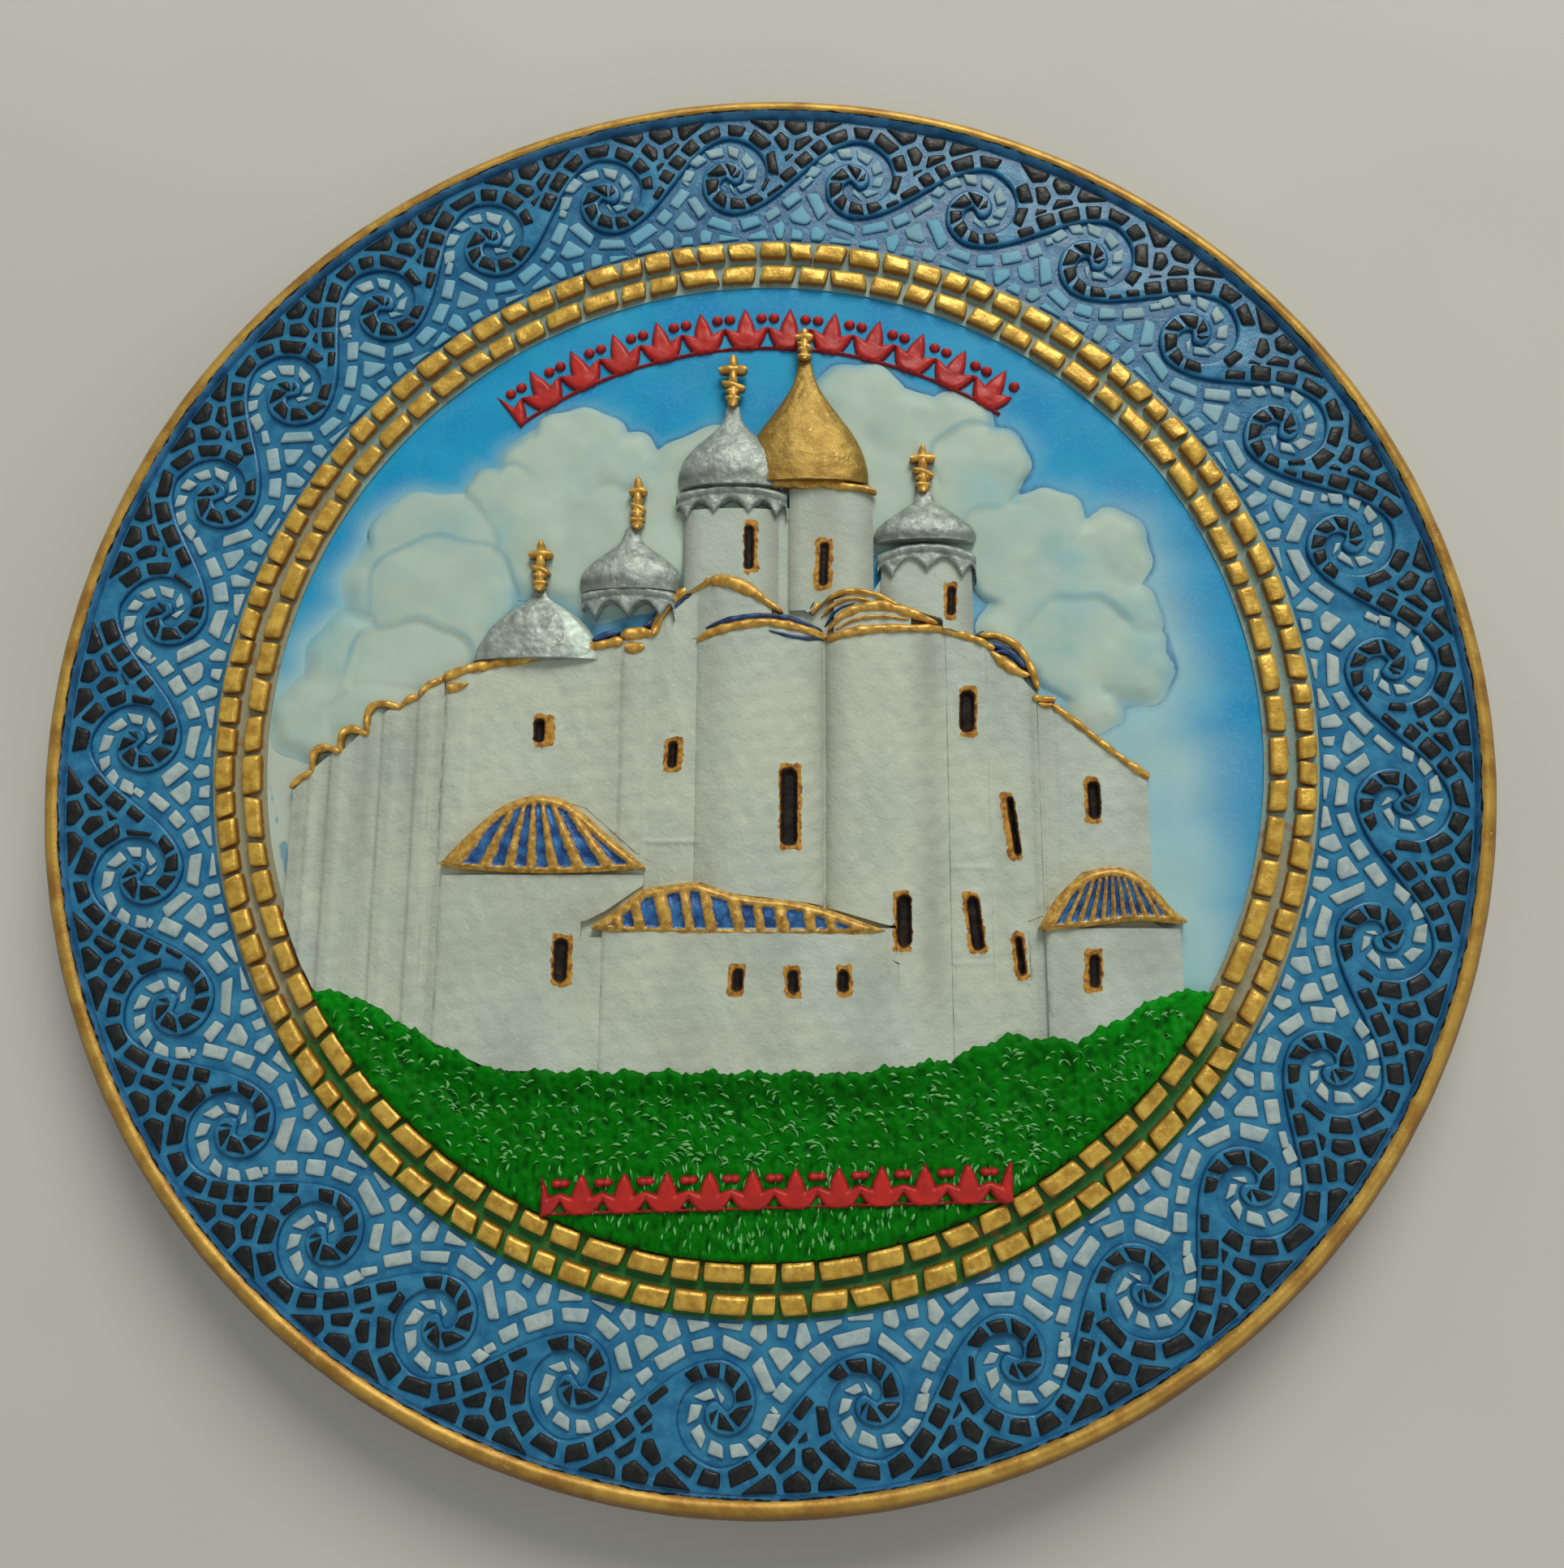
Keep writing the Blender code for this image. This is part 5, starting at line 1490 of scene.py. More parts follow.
def window_distance(x, y, slot, shift=0.0):
    """Positive inside a window's gilt frame, or inside its black slot if slot is true."""
    best = np.full(np.shape(x), -9.0)
    for k, (cx, cy, width, height, aside, wide, lean) in enumerate(WINDOWS):
        middle = cx + lean * (y - cy) + (aside if slot else shift * math.sin(3.7 * k))
        half = 0.5 * (wide if slot else width)
        dx = np.abs(x - middle) - half
        dy = np.abs(y - cy) - 0.5 * (height - 1.6 * slot)
        bow = 0.9 * half if slot else 0.5
        corner = np.hypot(np.maximum(dx + bow, 0), np.maximum(dy + bow, 0)) - bow
        best = np.maximum(best, -np.maximum(corner, np.maximum(dx, dy)))
    return best


def apse(x, left, right, rise):
    """How far a rounded wall between left and right stands out."""
    t = np.clip((x - left) / (right - left), 0, 1)
    return rise * np.sqrt(np.clip(4 * t * (1 - t), 0, 1)) ** 1.3


def flat_face(x):
    """Face of the walls without their bulges."""
    z = np.full(np.shape(x), WALL_Z - 0.35)
    for place, step in EDGES:
        z = z + step * smooth(-0.22, 0.22, x - place)
    return z


def foot_of_walls(x):
    """Highest face of the walls along the lawn, so that the lawn can cover it."""
    north, chancel, south = [apse(x, *sides) for sides in LOW_APSES.values()]
    low = WALL_Z - 0.3 + np.maximum.reduce([north, chancel * (x > -24.0) * (x < 19.5), south])
    return np.maximum(low, flat_face(x) + apse(x, *RIGHT_APSE))


def plaster(x, y):
    """Shallow trowel marks, longer across than up."""
    return 0.05 * dents(x * 0.75, y * 1.2, 1.1, 46) + 0.035 * dents(x * 0.8, y, 2.8, 41)


def wall_height(x, y, depth=None):
    """Face of the tall walls."""
    z = flat_face(x)
    z = z + apse(x, *LEFT_APSE) + apse(x, *RIGHT_APSE)
    z = z - 0.25 * np.exp(-((x - 9.0) / 0.5) ** 2)
    ledge = np.exp(-((y + 14.9) / 0.35) ** 2) * smooth(-15.9, -15.3, x) * smooth(-8.2, -8.8, x)
    for level in (-18.6, -31.6):
        across = smooth(25.6, 26.2, x) * smooth(32.2, 31.6, x)
        ledge = ledge + 0.5 * np.exp(-((y - level) / 0.3) ** 2) * across
    z = z + 0.35 * ledge + 0.05 * dents(x, y, 9.0, 42) + plaster(x, y)
    sunk = smooth(-0.2, 0.3, window_distance(x, y, True))
    return z - 0.8 * sunk + 0.12 * smooth(-0.5, 0.1, window_distance(x, y, False)) * (1 - sunk)


def airbrush(x, y, depth=None):
    """Soft upright bands of grey-brown shade."""
    shade = np.zeros(np.shape(x))
    for place, wide, dark in ((9.2, 2.4, 0.75), (23.6, 2.2, 0.5), (-19.5, 2.0, 0.45), (38.5, 1.7, 0.5),
                              (-6.8, 2.2, 0.28), (-64.5, 1.6, 0.45), (-60.0, 1.5, 0.5), (-55.5, 1.8, 0.55),
                              (-52.0, 1.4, 0.4), (-48.5, 2.2, 0.5), (-44.8, 1.4, 0.35), (-14.5, 1.5, 0.2),
                              (33.5, 2.0, 0.25), (52.0, 2.2, 0.18)):
        shade = np.maximum(shade, dark * np.exp(-((x - place) / wide) ** 2))
    fade = 0.7 + 0.3 * dents(x, y, 16.0, 51)
    return np.clip(shade * fade * smooth(-44, -30, y), 0, 1)


def edge_shade_lines(x, y, depth=None):
    """Thin lines of painted shade at the upright edges."""
    line = np.zeros(np.shape(x))
    for place, step in EDGES + [(9.0, 0.4), (-8.9, -0.2), (26.0, 0.3)]:
        line = np.maximum(line, np.exp(-((x - place) / 0.22) ** 2) * min(1.0, 2.2 * abs(step)))
    broken = smooth(-0.6, 0.6, dents(x * 3, y, 9.0, 61))
    return line * (0.4 + 0.6 * broken)


def cool_light(x, y, depth=None):
    """Overspray of the sky on the white: strongest high up and to the right."""
    return np.clip(0.25 * smooth(0, 40, y) + 0.3 * smooth(25, 60, x) + 0.12 * dents(x, y, 14.0, 71), 0, 1)


def nowhere(x, y, depth):
    """A mark for faces without windows."""
    return 0 * x - 5


WALL_MARKS = {
    "shade": airbrush, "edge_shade": edge_shade_lines, "cool": cool_light,
    "gilt": lambda x, y, depth: window_distance(x, y, False, 0.3),
    "black": lambda x, y, depth: window_distance(x, y, True),
}


def wall_core(material):
    """Plaster behind the separate walls, so that no sky shows between them."""
    outline = [(-64.6, -8.2), (-44.0, 6.5), (-17.0, 12.5), (-16.4, 14.8), (-12.5, 19.5), (-9.6, 21.0),
               (-9.6, 31.5), (3.5, 34.0), (15.3, 34.5), (15.3, 20.0), (17.7, 24.0), (29.2, 23.5),
               (29.2, 14.0), (37.0, 8.0), (41.0, 3.0), (53.0, -7.2), (53.0, -26.0), (56.2, -27.5),
               (56.2, -38.0), (30.0, -46.0), (0.0, -48.0), (-34.0, -48.0), (-50.0, -41.0),
               (-60.0, -38.0), (-64.6, -30.0)]
    shape = closed_shape(outline)
    height = lambda x, y, depth: flat_face(x) - 0.12 - 1.3 * smooth(-0.6, 0.0, window_distance(x, y, False))
    inside = lambda x, y: np.minimum(shape(x, y), SKY_RADIUS - 0.2 - np.hypot(x, y))
    relief("wall_core", box_of(outline), inside, height, WALL_BASE, material, [],
           {"shade": airbrush, "cool": cool_light, "gilt": nowhere, "black": nowhere},
           cell=0.5)


def walls(material):
    wall_core(material)
    for node in ("fluted_wall", "north_wall", "north_pilaster", "north_bay", "chancel_wall", "south_apse",
                 "south_bay", "south_wing", "north_gable", "south_gable"):
        inside, box = column(node)
        relief(node, box, inside, wall_height, WALL_BASE, material, [node], WALL_MARKS)


def low_apses(material):
    """The rounded low walls in front of the building."""
    for node, sides in LOW_APSES.items():
        inside, box = column(node, 0.9, 0.25)
        if node == "north_apse":
            inside = joined(node, 0.25, rectangle(-30, box[1], CHANCEL_SIDES[0] + 0.6, -28.2))
        if node == "chancel_apse":
            box = (CHANCEL_SIDES[0], -46.6, CHANCEL_SIDES[1], -27.0)
            inside = rectangle(*box)

        def height(x, y, depth, sides=sides, box=box):
            edge = np.minimum(x - box[0], box[2] + (3 if sides[0] < -25 else 0) - x)
            z = WALL_Z - 0.3 + apse(x, *sides) - 0.2 * (1 - smooth(0.0, 0.5, edge))
            z = np.maximum(z, flat_face(x) - 0.05)
            z = z + 0.05 * dents(x, y, 9.0, 44) + plaster(x, y)
            return z - 0.7 * smooth(-0.2, 0.3, window_distance(x, y, True))

        marks = dict(WALL_MARKS)
        marks["shade"] = lambda x, y, depth: np.clip(0.10 + 0.12 * dents(x, y, 8.0, 52), 0, 1)
        last = 17.4 if node == "chancel_apse" else box[2]
        # Painted shade: a dark line down each side of the low wall.
        marks["edge_shade"] = lambda x, y, depth, first=box[0], last=last: np.exp(
            -(np.minimum(x - first, np.abs(last - x)) / 0.25) ** 2) * 0.6
        relief(node, box, inside, height, WALL_BASE, material, [node], marks)


def drums(material):
    for node, left, right, rise in (("great_drum", -11.2, 2.6, 1.2), ("gold_drum", 3.6, 16.2, 0.9),
                                    ("south_drum", 17.0, 30.2, 1.0)):
        inside, box = column(node, 0.6, 0.25)

        def height(x, y, depth, left=left, right=right, rise=rise):
            z = WALL_Z - 0.55 + apse(x, left, right, rise) + 0.05 * dents(x, y, 3.0, 45)
            return z - 0.6 * smooth(-0.2, 0.3, window_distance(x, y, True))

        def shade(x, y, depth, left=left, right=right):
            t = (x - left) / (right - left)
            sides = 0.75 * np.exp(-(t / 0.13) ** 2) + 0.6 * np.exp(-((1 - t) / 0.16) ** 2)
            middle = 0.4 * np.exp(-((t - 0.45) / 0.22) ** 2) * (node == "gold_drum")
            return np.clip(sides + middle, 0, 1)

        marks = dict(WALL_MARKS)
        marks["shade"] = shade
        marks["edge_shade"] = lambda x, y, depth: 0 * x
        relief(node, box, inside, height, WALL_BASE, material, [node], marks, cell=0.25)


# Ridges and eaves of the low roofs, smooth lines through these points.
RIDGES = {
    "north_roof": [(-43.8, -18.3), (-41.0, -15.2), (-38.0, -12.3), (-35.0, -10.0), (-31.0, -8.7),
                   (-27.0, -9.3), (-24.0, -11.3), (-21.0, -14.0), (-18.0, -16.5), (-15.4, -18.7)],
    "chancel_roof": [(-22.8, -27.0), (-19.0, -24.3), (-16.0, -22.0), (-13.0, -21.3), (-8.5, -20.8),
                     (-5.5, -21.7), (-2.0, -22.6), (5.0, -23.4), (9.0, -24.4), (13.0, -25.8),
                     (17.3, -27.4)],
    "south_roof": [(37.7, -26.9), (40.0, -23.2), (42.5, -20.6), (45.0, -19.2), (48.0, -18.8), (51.0, -19.7),
                   (53.5, -22.0), (55.5, -24.5), (57.5, -26.2)],
}
EAVES = {
    "north_roof": [(-15.4, -18.9), (-29.0, -19.5), (-43.8, -18.7)],
    "chancel_roof": [(17.3, -27.8), (-3.0, -28.0), (-22.8, -27.4)],
    "south_roof": [(57.5, -26.5), (51.0, -26.0), (44.0, -26.8), (37.7, -27.4)],
}
FANS = {"north_roof": (-31.0, -4.0, 2.12), "south_roof": (47.6, -13.5, 4.0)}


def ribs(name, x, y):
    """Place across the ribs, in ribs: whole numbers are their middles."""
    if name in FANS:
        cx, cy, count = FANS[name]
        ray = (x - cx) / np.maximum(cy - y, 0.5)
        return ray * count * 2.0 + 0.15 * np.sin(5 * ray)
    return (x + 0.2 * (y + 25.0)) / 3.22 + 0.1 * np.sin(0.7 * x)


def low_roofs(material):
    for name in RIDGES:
        ridge = eased(RIDGES[name])
        eave = eased(EAVES[name])
        outline = np.concatenate([ridge, eave[1:-1]])
        inside = closed_shape(outline)

        def gilt(x, y, depth, name=name, ridge=ridge):
            place = ribs(name, x, y)
            off = np.abs(place - np.round(place))
            rib = 0.8 * (0.235 - off) * (2.6 if name in FANS else 3.2)
            top = 1.25 - stroke_distance(ridge, x, y)
            frame_band = 0.75 - depth
            return np.maximum.reduce([rib, top, frame_band])

        def height(x, y, depth, name=name, gilt=gilt):
            ribbed = smooth(-0.25, 0.35, gilt(x, y, depth))
            low = top_of(name) - 0.75
            edge = 1 - (1 - smooth(0.0, 0.9, depth)) ** 2
            swell = 0.35 * smooth(0.0, 4.0, depth)
            return low - 0.6 + 0.55 * edge + swell + 0.6 * ribbed + 0.04 * dents(x, y, 1.2, 81)

        relief(name, box_of(outline), inside, height, SKY_Z, material, [name, name + "_frame"],
               {"gilt": gilt}, cell=0.22)


# Gold bands on the building: (points, widths along the band).
def scallops():
    """The wavy gold edge that climbs along the fluted wall."""
    cusps = [(-65.6, -7.3), (-62.6, -5.0), (-58.8, -2.2), (-55.2, 0.4), (-50.8, 4.2), (-48.2, 5.9),
             (-44.8, 8.5)]
    rises = [0.10, 0.5, 0.52, 0.5, 0.14, 0.1]
    strokes = []
    for (start, end), rise in zip(zip(cusps, cusps[1:]), rises):
        a, b = np.array(start), np.array(end)
        chord = b - a
        normal = np.array([-chord[1], chord[0]])
        arc = [a + chord * t + normal * rise * 4 * t * (1 - t) for t in (0, 0.25, 0.5, 0.75, 1.0)]
        strokes.append((arc, [0.6, 0.95, 0.85]))
    return strokes


def roof_bands(gold, blue):
    """The gold edges of the roofs, each in the place of the CAD node of its name."""
    ground = lambda x, y: wall_height(x, y) - 0.05

    def trim(node, strokes, seed, lift=0.55):
        beads(node, strokes, ground, lift, gold, [node], seed)

    north = [(-45.0, 8.5), (-41.0, 10.0), (-34.0, 11.3), (-27.0, 12.5), (-19.5, 14.0)]
    trim("north_roof_trim", scallops() + [(north, [1.1, 1.3, 1.1, 1.2]),
          ([(-19.9, 14.7), (-17.5, 15.0), (-15.2, 15.2)], [1.3, 1.5, 1.2]),
          ([(-19.2, 13.0), (-17.8, 12.8), (-16.4, 13.0)], [1.3, 1.6, 1.2]),
          ([(-44.3, 7.0), (-42.8, 7.2), (-41.2, 7.7)], [1.6, 1.1, 0.3])], 3)
    trim("north_gable_trim", [
        ([(-15.3, 14.9), (-14.4, 17.6), (-12.4, 20.3), (-9.8, 22.0), (-7.0, 22.7)], [1.1, 1.3, 1.2]),
        ([(-7.2, 22.7), (-4.4, 22.3), (-1.2, 20.7), (1.3, 18.9), (3.2, 17.6)], [1.3, 1.7, 1.6, 0.9, 0.5])],
         4, 0.6)
    trim("chancel_trim", [
        ([(-9.0, 14.0), (-6.5, 15.0), (-3.0, 15.8), (1.0, 16.1), (5.0, 15.5), (9.4, 14.3)],
         [1.0, 1.2, 1.0, 1.1, 0.9])], 5)
    trim("south_gable_trim", [
        ([(7.2, 17.6), (8.8, 19.7), (12.4, 20.8), (16.2, 20.2), (19.6, 18.4)], [0.5, 0.8, 0.7, 0.6]),
        ([(8.6, 17.4), (10.4, 19.0), (13.2, 19.7), (15.4, 19.3)], [0.3, 0.5, 0.3]),
        ([(9.5, 15.2), (11.8, 17.5), (16.0, 18.6), (20.0, 17.9), (25.0, 16.1)], [0.4, 1.1, 1.3, 1.2, 0.7]),
        ([(10.6, 15.3), (13.5, 16.6), (17.0, 16.9), (21.0, 16.5)], [0.25, 0.45, 0.4, 0.25])], 6)
    trim("south_roof_trim", [
        ([(9.3, 13.8), (12.0, 14.6), (16.0, 15.1), (21.0, 15.2), (25.5, 15.3), (29.5, 14.2), (33.0, 12.6)],
         [1.0, 1.2, 1.0, 0.9, 1.1, 0.8]),
        ([(30.8, 14.5), (33.4, 14.5), (36.2, 12.9), (37.9, 10.0), (38.9, 6.6)], [0.5, 0.9, 1.0, 0.9, 0.7]),
        ([(32.4, 12.2), (34.2, 10.6), (36.2, 9.2), (37.8, 8.6)], [0.6, 1.3, 1.3, 0.7]),
        ([(38.0, 5.4), (39.6, 5.2), (41.3, 5.2)], [0.9, 0.8, 0.9]),
        ([(38.8, 4.5), (40.0, 4.3), (41.0, 4.4)], [0.5, 0.7, 0.4]),
        ([(40.8, 4.3), (43.5, 2.2), (47.0, -0.8), (50.5, -3.7), (53.7, -6.1)],
         [0.9, 0.8, 0.8, 0.8, 1.1])], 7)
    beads("blue_shadow_lines", [
        ([(-24.0, 14.0), (-22.0, 14.9), (-20.0, 15.3)], [0.4, 0.9, 0.7]),
        ([(-16.6, 15.9), (-15.4, 17.2), (-14.6, 18.6)], [0.6, 0.7, 0.3]),
        ([(-12.8, 18.6), (-11.2, 20.2), (-9.9, 20.9)], [0.3, 0.7, 0.3]),
        ([(-7.8, 15.6), (-4.0, 16.7), (0.0, 17.1), (4.0, 16.8), (8.8, 15.2)], [0.4, 0.8, 0.6, 0.7, 0.4]),
        ([(1.2, 14.9), (4.0, 14.2), (6.6, 13.9), (9.0, 14.0)], [0.2, 0.5, 0.5, 0.3]),
        ([(7.0, 18.3), (8.3, 20.2), (10.5, 21.2)], [0.2, 0.4, 0.2]),
        ([(9.0, 15.9), (10.8, 18.1), (13.4, 19.1)], [0.2, 0.4, 0.2]),
        ([(30.3, 14.4), (31.6, 15.0)], [0.4, 0.6]),
        ([(31.8, 13.5), (34.2, 12.7), (36.2, 11.2), (37.2, 9.8)], [0.9, 0.7, 0.9, 0.8]),
        ([(32.4, 11.8), (34.0, 12.2), (35.4, 11.6)], [0.3, 0.5, 0.3])],
        ground, 0.32, blue, [], 8)


# ---- domes and crosses --------------------------------------------------------------
DOME_TOP = max(top_of("great_dome"), top_of("gold_dome"))


def onion(name, rows, axis, foot, depth, material, seed, crinkle, dome_shade, nodes, bare=None):
    """Half an onion dome lying in the picture, its skin crumpled like leaf."""
    rows = eased(rows, 5)
    steps = 44                  # round the half dome
    points, dome_shade_marks, bare_marks = [], [], []
    for y, width in rows:
        for k in range(steps + 1):
            angle = math.pi * k / steps
            points.append((axis + width * math.cos(angle), y, width * math.sin(angle)))
            dome_shade_marks.append(dome_shade(y, math.cos(angle)))
            bare_marks.append(bare(y, math.cos(angle)) if bare else -3.0)
    xyz = np.array(points)
    x, y = xyz[:, 0], xyz[:, 1]
    crumple = crinkle * (dents(x, y, 0.7, seed) + dents(x, y, 1.6, seed + 1))
    xyz[:, 2] = foot + depth * xyz[:, 2] + crumple * np.clip(xyz[:, 2] / 2.0, 0, 1)
    xyz[:, 2] = np.minimum(xyz[:, 2], DOME_TOP)
    levels = id_rows(0, steps + 1, len(rows))
    faces = skin(levels, closed=False) + [levels[0], levels[-1]]
    for low, high in zip(levels, levels[1:]):
        faces.append((high[0], high[-1], low[-1], low[0]))
    make_piece(name, xyz, faces, material, nodes, {"dome_shade": dome_shade_marks, "bare": bare_marks}, sharp=70)


# Half outlines of the domes: (y, half width) from the eave up.
GREAT_ROWS = [(36.8, 7.5), (38.9, 7.8), (40.9, 7.3), (42.6, 6.2), (44.0, 4.9), (45.4, 3.3), (46.6, 2.1),
              (48.0, 1.3), (49.8, 1.0)]
GOLD_ROWS = [(37.4, 9.2), (39.4, 9.1), (41.4, 8.7), (43.6, 7.9), (46.0, 6.6), (48.4, 4.9), (50.6, 3.4),
             (52.6, 2.2), (54.6, 1.4), (57.2, 0.9)]
SOUTH_ROWS = [(28.2, 7.0), (29.6, 7.3), (31.2, 6.3), (32.6, 4.4), (33.7, 2.9), (34.6, 1.7), (36.3, 1.0)]
NORTH_ROWS = [(21.2, 6.8), (22.9, 7.3), (24.7, 6.6), (26.3, 4.9), (27.7, 3.0), (29.0, 1.6), (30.9, 0.9)]
FAR_ROWS = [(11.2, 9.2), (13.2, 8.7), (15.4, 7.5), (17.2, 6.0), (18.6, 4.3), (19.8, 2.4), (20.8, 1.1),
            (21.8, 0.7)]


def domes(silver, gold):
    foot = top_of("cloud_bank") + 0.2

    # Painted shade: a dark band low on each silver dome, stronger on its left side.
    def shadow_over(level, blur, to_right):
        return lambda y, side: 0.8 * math.exp(-((y - level) / blur) ** 2) * (0.4 + 0.6 * (side < to_right))

    onion("great_dome", GREAT_ROWS, -4.3, foot, 0.37, silver, 5, 0.04,
          shadow_over(38.3, 1.0, 0.5), ["great_dome"])
    onion("gold_dome", GOLD_ROWS, 6.3, foot - 0.1, 0.3, gold, 9, 0.03,
          lambda y, side: 0.5 * max(0.0, -side) + 0.3 * (y < 40), ["gold_dome"])
    onion("south_dome", SOUTH_ROWS, 23.5, foot, 0.37, silver, 13, 0.04,
          shadow_over(28.9, 0.8, 0.2), ["south_dome"])
    onion("north_dome", NORTH_ROWS, -18.7, foot, 0.36, silver, 17, 0.045,
          shadow_over(22.4, 0.8, 0.0), ["north_dome"])
    onion("far_north_dome", FAR_ROWS, -31.7, foot - 0.3, 0.24, silver, 21, 0.045,
          lambda y, side: 0.0, ["far_north_dome"], bare=lambda y, side: 3 * (side - 0.55))


def cornices(silver):
    """The band under three silver domes and the scalloped apron that hangs from it."""
    foot = WALL_Z - 0.2
    for name, axis, width, level, sag, lobes in (("great_cornice", -4.3, 8.0, 36.2, 1.2, 5),
                                                 ("south_cornice", 23.6, 7.0, 27.0, 1.5, 4),
                                                 ("north_cornice", -18.9, 6.6, 20.9, 0.8, 4)):
        def band(x, axis=axis, width=width, level=level, sag=sag):
            return level - sag * ((x - axis) / width) ** 2

        def inside(x, y, axis=axis, width=width, lobes=lobes, band=band):
            place = (x - axis) / width
            turn = np.arcsin(np.clip(place, -1, 1)) / (math.pi / 2) + 1.0
            swing = np.abs(np.sin(math.pi * lobes * 0.5 * turn))
            drop = 1.1 + 2.2 * (1 - swing)
            return np.minimum.reduce([band(x) + 0.7 - y, y - (band(x) - drop), width - np.abs(x - axis)])

        def height(x, y, depth, axis=axis, width=width, band=band):
            round_off = np.sqrt(np.clip(1 - ((x - axis) / (width + 0.4)) ** 2, 0, 1))
            rib = np.exp(-((y - band(x) - 0.1) / 0.35) ** 2)
            return (foot + 1.25 * round_off + 0.3 * rib + 0.16 * smooth(0.0, 0.35, depth)
                    + 0.05 * dents(x, y, 0.8, 91))

        # Painted shade: a dark line just under the band.
        dome_shade = lambda x, y, depth, band=band: np.exp(-((y - band(x) + 0.55) / 0.22) ** 2)
        box = (axis - width, level - sag - 3.6, axis + width, level + 0.8)
        relief(name, box, inside, height, SKY_Z, silver, [],
               {"dome_shade": dome_shade, "bare": lambda x, y, depth: 0 * x - 3}, cell=0.2)


def flat_at(level):
    """A flat ground for gold bands."""
    return lambda x, y: np.full(np.shape(x), level)


def gold_eave(gold):
    """The flared ring under the gold dome."""
    beads("gold_dome_eave", [([(-2.5, 37.9), (4.0, 37.5), (10.0, 37.1), (15.2, 36.3), (16.6, 35.8)],
                              [1.2, 1.4, 1.3, 1.1, 0.5])],
          flat_at(WALL_Z + 0.3), 0.6, gold, [], 11)


def crosses(gold):
    """Each cross: a post, a straight arm, a slanted lower arm and a turned neck."""
    for node in ("great_cross", "gold_cross", "south_cross", "north_cross", "far_north_cross"):
        low, high = span(node)
        x = 0.5 * (low.x + high.x)
        tall = high.y - low.y
        arm = 0.5 * (high.x - low.x)
        foot = low.y - 0.6
        upper = low.y + 0.72 * tall
        lower = low.y + 0.36 * tall
        neck = low.y + 0.26 * tall
        strokes = [
            ([(x, foot), (x, foot + 0.5 * tall), (x, high.y)], [1.5, 1.0, 1.0, 1.1]),
            ([(x - arm, upper - 0.1), (x, upper), (x + arm, upper - 0.1)], [1.2, 1.0, 1.2]),
            ([(x - 0.8 * arm, lower + 0.6), (x, lower + 0.2), (x + 0.85 * arm, lower - 0.5)],
             [0.9, 0.8, 0.9]),
            ([(x - 1.0, neck), (x, neck - 0.05), (x + 1.0, neck)], [0.6, 0.7, 0.6]),
            ([(x - 1.1, neck - 1.1), (x, neck - 1.15), (x + 1.1, neck - 1.1)], [0.6, 0.7, 0.6])]
        level = 0.5 * (low.z + high.z) + 0.1
        beads(node, strokes, flat_at(level), 0.55, gold, [node], 12)


# ---- red ornament -------------------------------------------------------------------
def lens(s, t, start, turn, length, half):
    """Positive inside a leaf that grows from start (s, t) in the direction turn."""
    u = s - start[0]
    v = t - start[1]
    along = (u * math.cos(turn) + v * math.sin(turn)) / length
    across = np.abs(-u * math.sin(turn) + v * math.cos(turn))
    width = half * np.sqrt(np.clip(along, 0, 1)) * (1 - np.clip(along, 0, 1)) * 2.55
    return np.where((along > 0) & (along < 1), width - across, -1.0)


def leaf_field(s, t, pitch):
    """Positive inside a garland of three-leaved sprigs; s runs along it and t across it."""
    d = s - pitch * np.round(s / pitch)
    foot = (0.0, -2.9)
    parts = [0.3 - np.abs(t + 2.7), lens(d, t, foot, 0.5 * math.pi, 6.8, 1.5)]
    for side in (-1, 1):
        parts.append(lens(d * side, t, foot, 0.85, 5.0, 1.25))
        parts.append(0.8 - np.hypot(d * side - 2.3, t - 2.2))
    return np.maximum.reduce(parts)


def garlands(material):
    """Leafy red sprigs where the real plate carries words."""
    points = node_points("upper_garland")
    radius = 0.5 * sum(radii_of("upper_garland"))
    turn = np.arctan2(points[:, 1], points[:, 0])
    first, last = turn.max(), turn.min()
    low, high = span("lower_garland")
    level = lambda x: np.interp(x, [low.x, high.x], [low.y + 2.0, high.y - 2.0])

    def arc(x, y):
        s = (first - np.arctan2(y, x)) * radius
        t = np.hypot(x, y) - radius
        ends = np.minimum(s - 0.4, (first - last) * radius - 0.4 - s)
        return np.minimum(leaf_field(s, t, 6.4), ends)

    def row(x, y):
        t = (y - level(x)) * 1.3
        ends = np.minimum(x - low.x - 0.2, high.x - 0.2 - x)
        return np.minimum(leaf_field(x - low.x, t, 5.6), ends)

    def raised(foot):
        return lambda x, y, depth: (foot + 0.75 * np.sqrt(smooth(0.0, 0.65, depth))
                                    + 0.04 * dents(x, y, 1.5, 95))

    depth_mark = {"depth": lambda x, y, depth: depth}
    relief("upper_garland", (-50.0, 34.0, 50.0, 68.0), arc, raised(SKY_Z + 0.1), SKY_Z - 0.1, material,
           ["upper_garland"], depth_mark, cell=0.2)
    relief("lower_garland", (low.x - 1, low.y - 2, high.x + 1, high.y + 2), row,
           raised(top_of("lawn") - 0.4), SKY_Z, material, ["lower_garland"], depth_mark,
           cell=0.2)


# ---- stage --------------------------------------------------------------------------
def floor():
    mesh = bpy.data.meshes.new("floor")
    half = 2.0
    mesh.from_pydata([(-half, -half, 0), (half, -half, 0), (half, half, 0), (-half, half, 0)], [],
                     [(0, 1, 2, 3)])
    mesh.materials.append(plain_floor())
    item = added("floor", mesh)


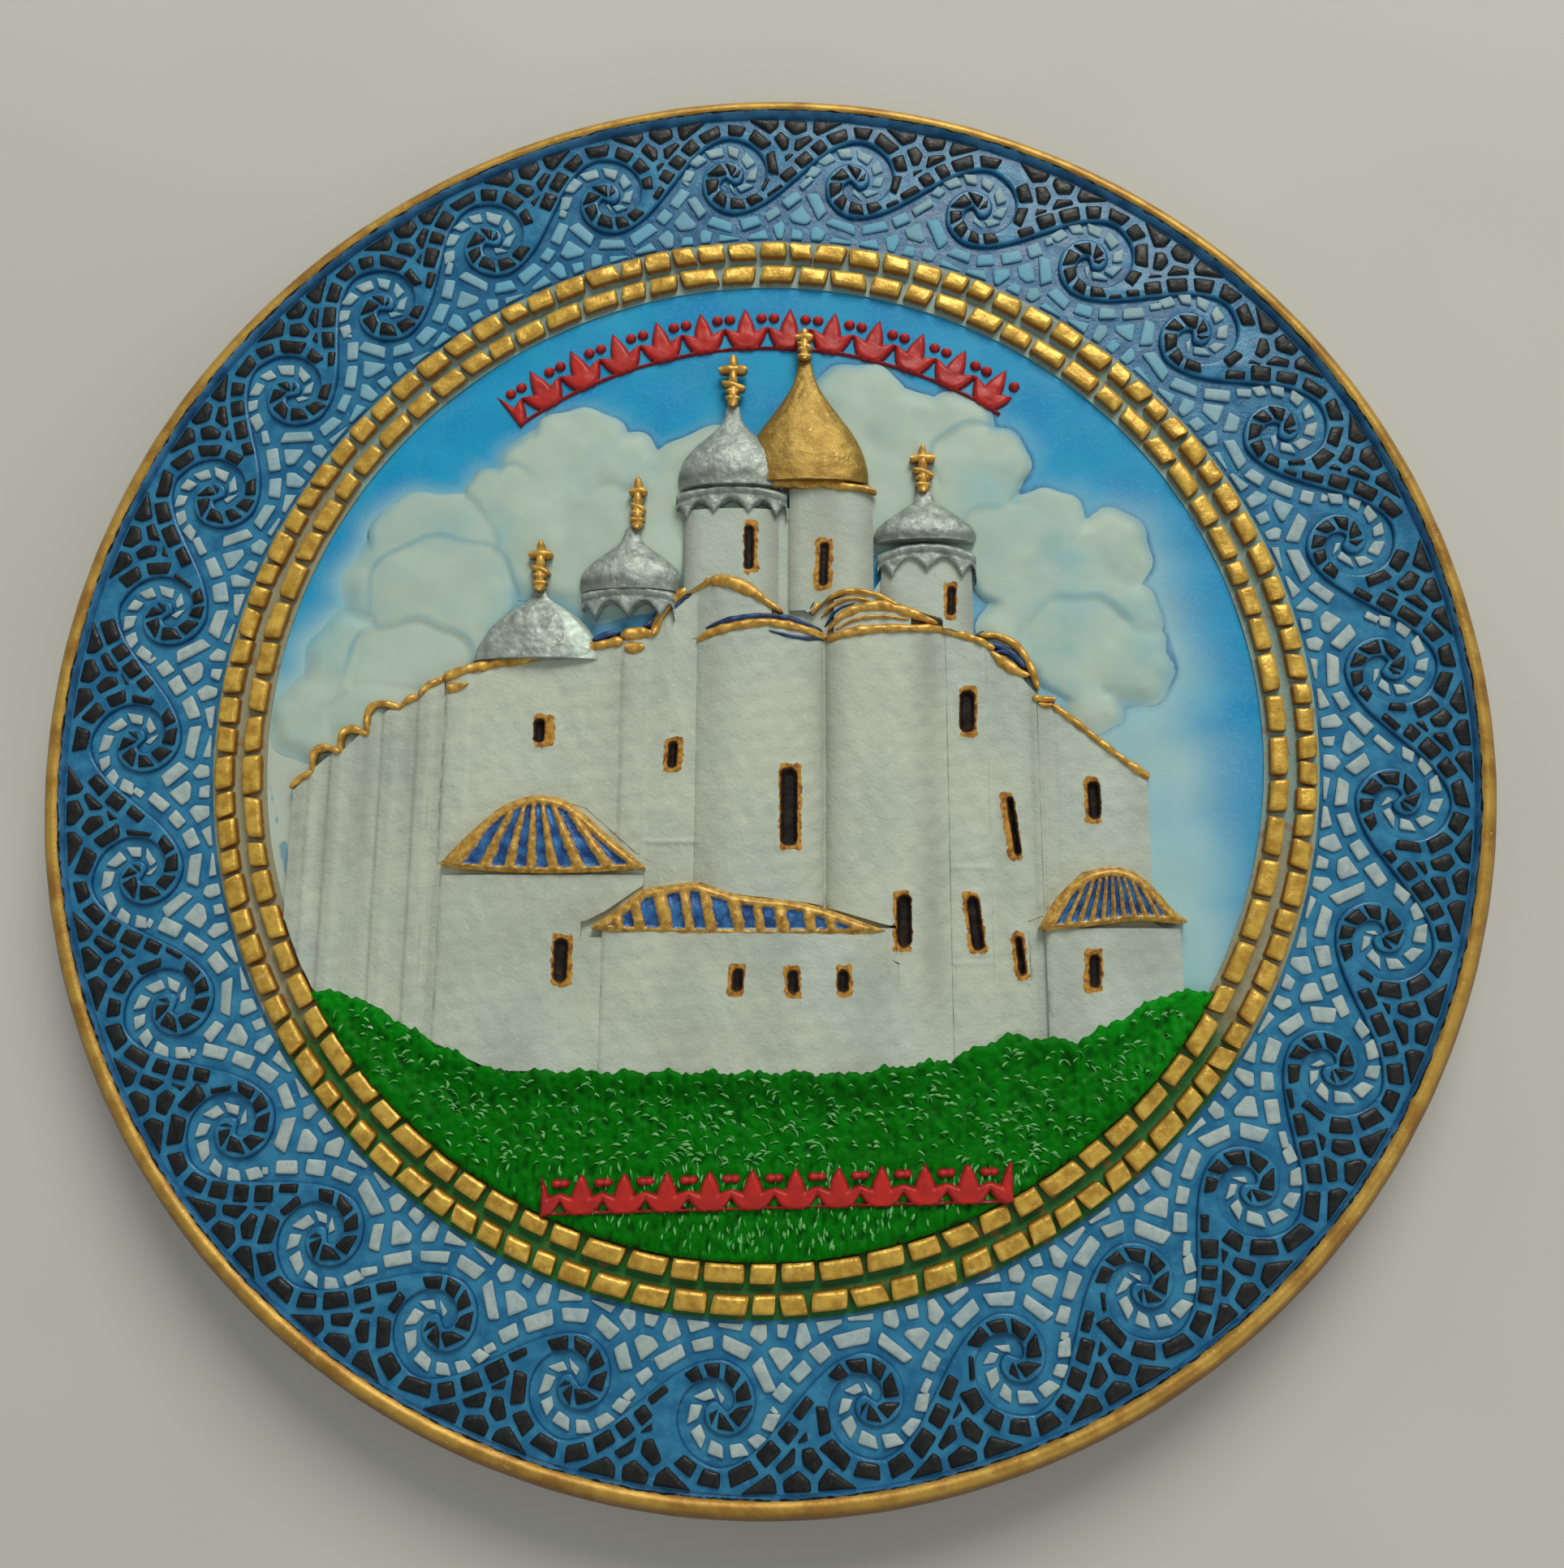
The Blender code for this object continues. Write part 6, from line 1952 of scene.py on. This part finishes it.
def area_light(name, place, aim, size, watts, colour):
    data = bpy.data.lights.new(name, "AREA")
    data.shape = "DISK"
    data.size = size
    data.energy = watts
    data.color = colour
    item = added(name, data)
    item.location = place
    item.rotation_euler = (Vector(aim) - Vector(place)).to_track_quat("-Z", "Y").to_euler()


def studio():
    """Soft daylight from the top of the picture, a little from the right."""
    world = bpy.data.worlds.new("studio")
    bpy.context.scene.world = world
    world.use_nodes = True
    back = world.node_tree.nodes["Background"]
    back.inputs["Color"].default_value = (0.9, 0.95, 0.94, 1.0)
    back.inputs["Strength"].default_value = 0.29
    area_light("window", (0.25, 1.0, 0.95), (0, 0, 0), 0.75, 11.6, (1.0, 0.985, 0.9))
    area_light("fill", (0.7, -0.7, 0.8), (0, 0, 0), 0.9, 1.7, (1.0, 0.99, 0.95))
    bpy.context.scene.view_settings.view_transform = "Standard"


def camera():
    """A hand-held look from a little below the picture's foot, 12 degrees off straight down."""
    tilt = 0.2154
    roll = 0.1411
    distance = 202.31
    aside = (-3.045, 6.469)
    plane = 11.3
    turn = (Matrix.Rotation(roll, 4, "Z") @ Matrix.Rotation(-tilt, 4, "X")
            @ Matrix.Rotation(-roll, 4, "Z"))
    seen = Matrix.Translation((*aside, -distance)) @ turn @ Matrix.Translation((0, 0, -plane))
    placed = seen.inverted()
    placed.translation *= MM
    data = bpy.data.cameras.new("camera")
    data.sensor_fit = "HORIZONTAL"
    data.sensor_width = 36.0
    data.lens = 33.2
    data.clip_start = 0.01
    item = added("camera", data)
    item.matrix_world = placed
    bpy.context.scene.camera = item


def build():
    ground = border_ground()
    border_floor(ground)
    wave_plateau(ground)
    tesserae()
    gold = brick_gold()
    brick_row("outer_bricks", "outer_brick_row", 108, 4, gold)
    brick_row("inner_bricks", "inner_brick_row", 84, 6, gold)
    brick_bed(joint_ground())
    gold_lip(lip_gold())
    cast_back(bare_casting())
    wire_loop(galvanised())
    sky(sky_paint())
    clouds(cloud_paint())
    lawn(lawn_paint())
    plaster = whitewash()
    walls(plaster)
    low_apses(plaster)
    drums(plaster)
    low_roofs(roof_paint())
    band_gold = trim_gold()
    roof_bands(band_gold, shadow_blue())
    silver = foil()
    domes(silver, gilded())
    cornices(silver)
    gold_eave(band_gold)
    crosses(band_gold)
    garlands(red_enamel())
    floor()
    studio()
    camera()


build()
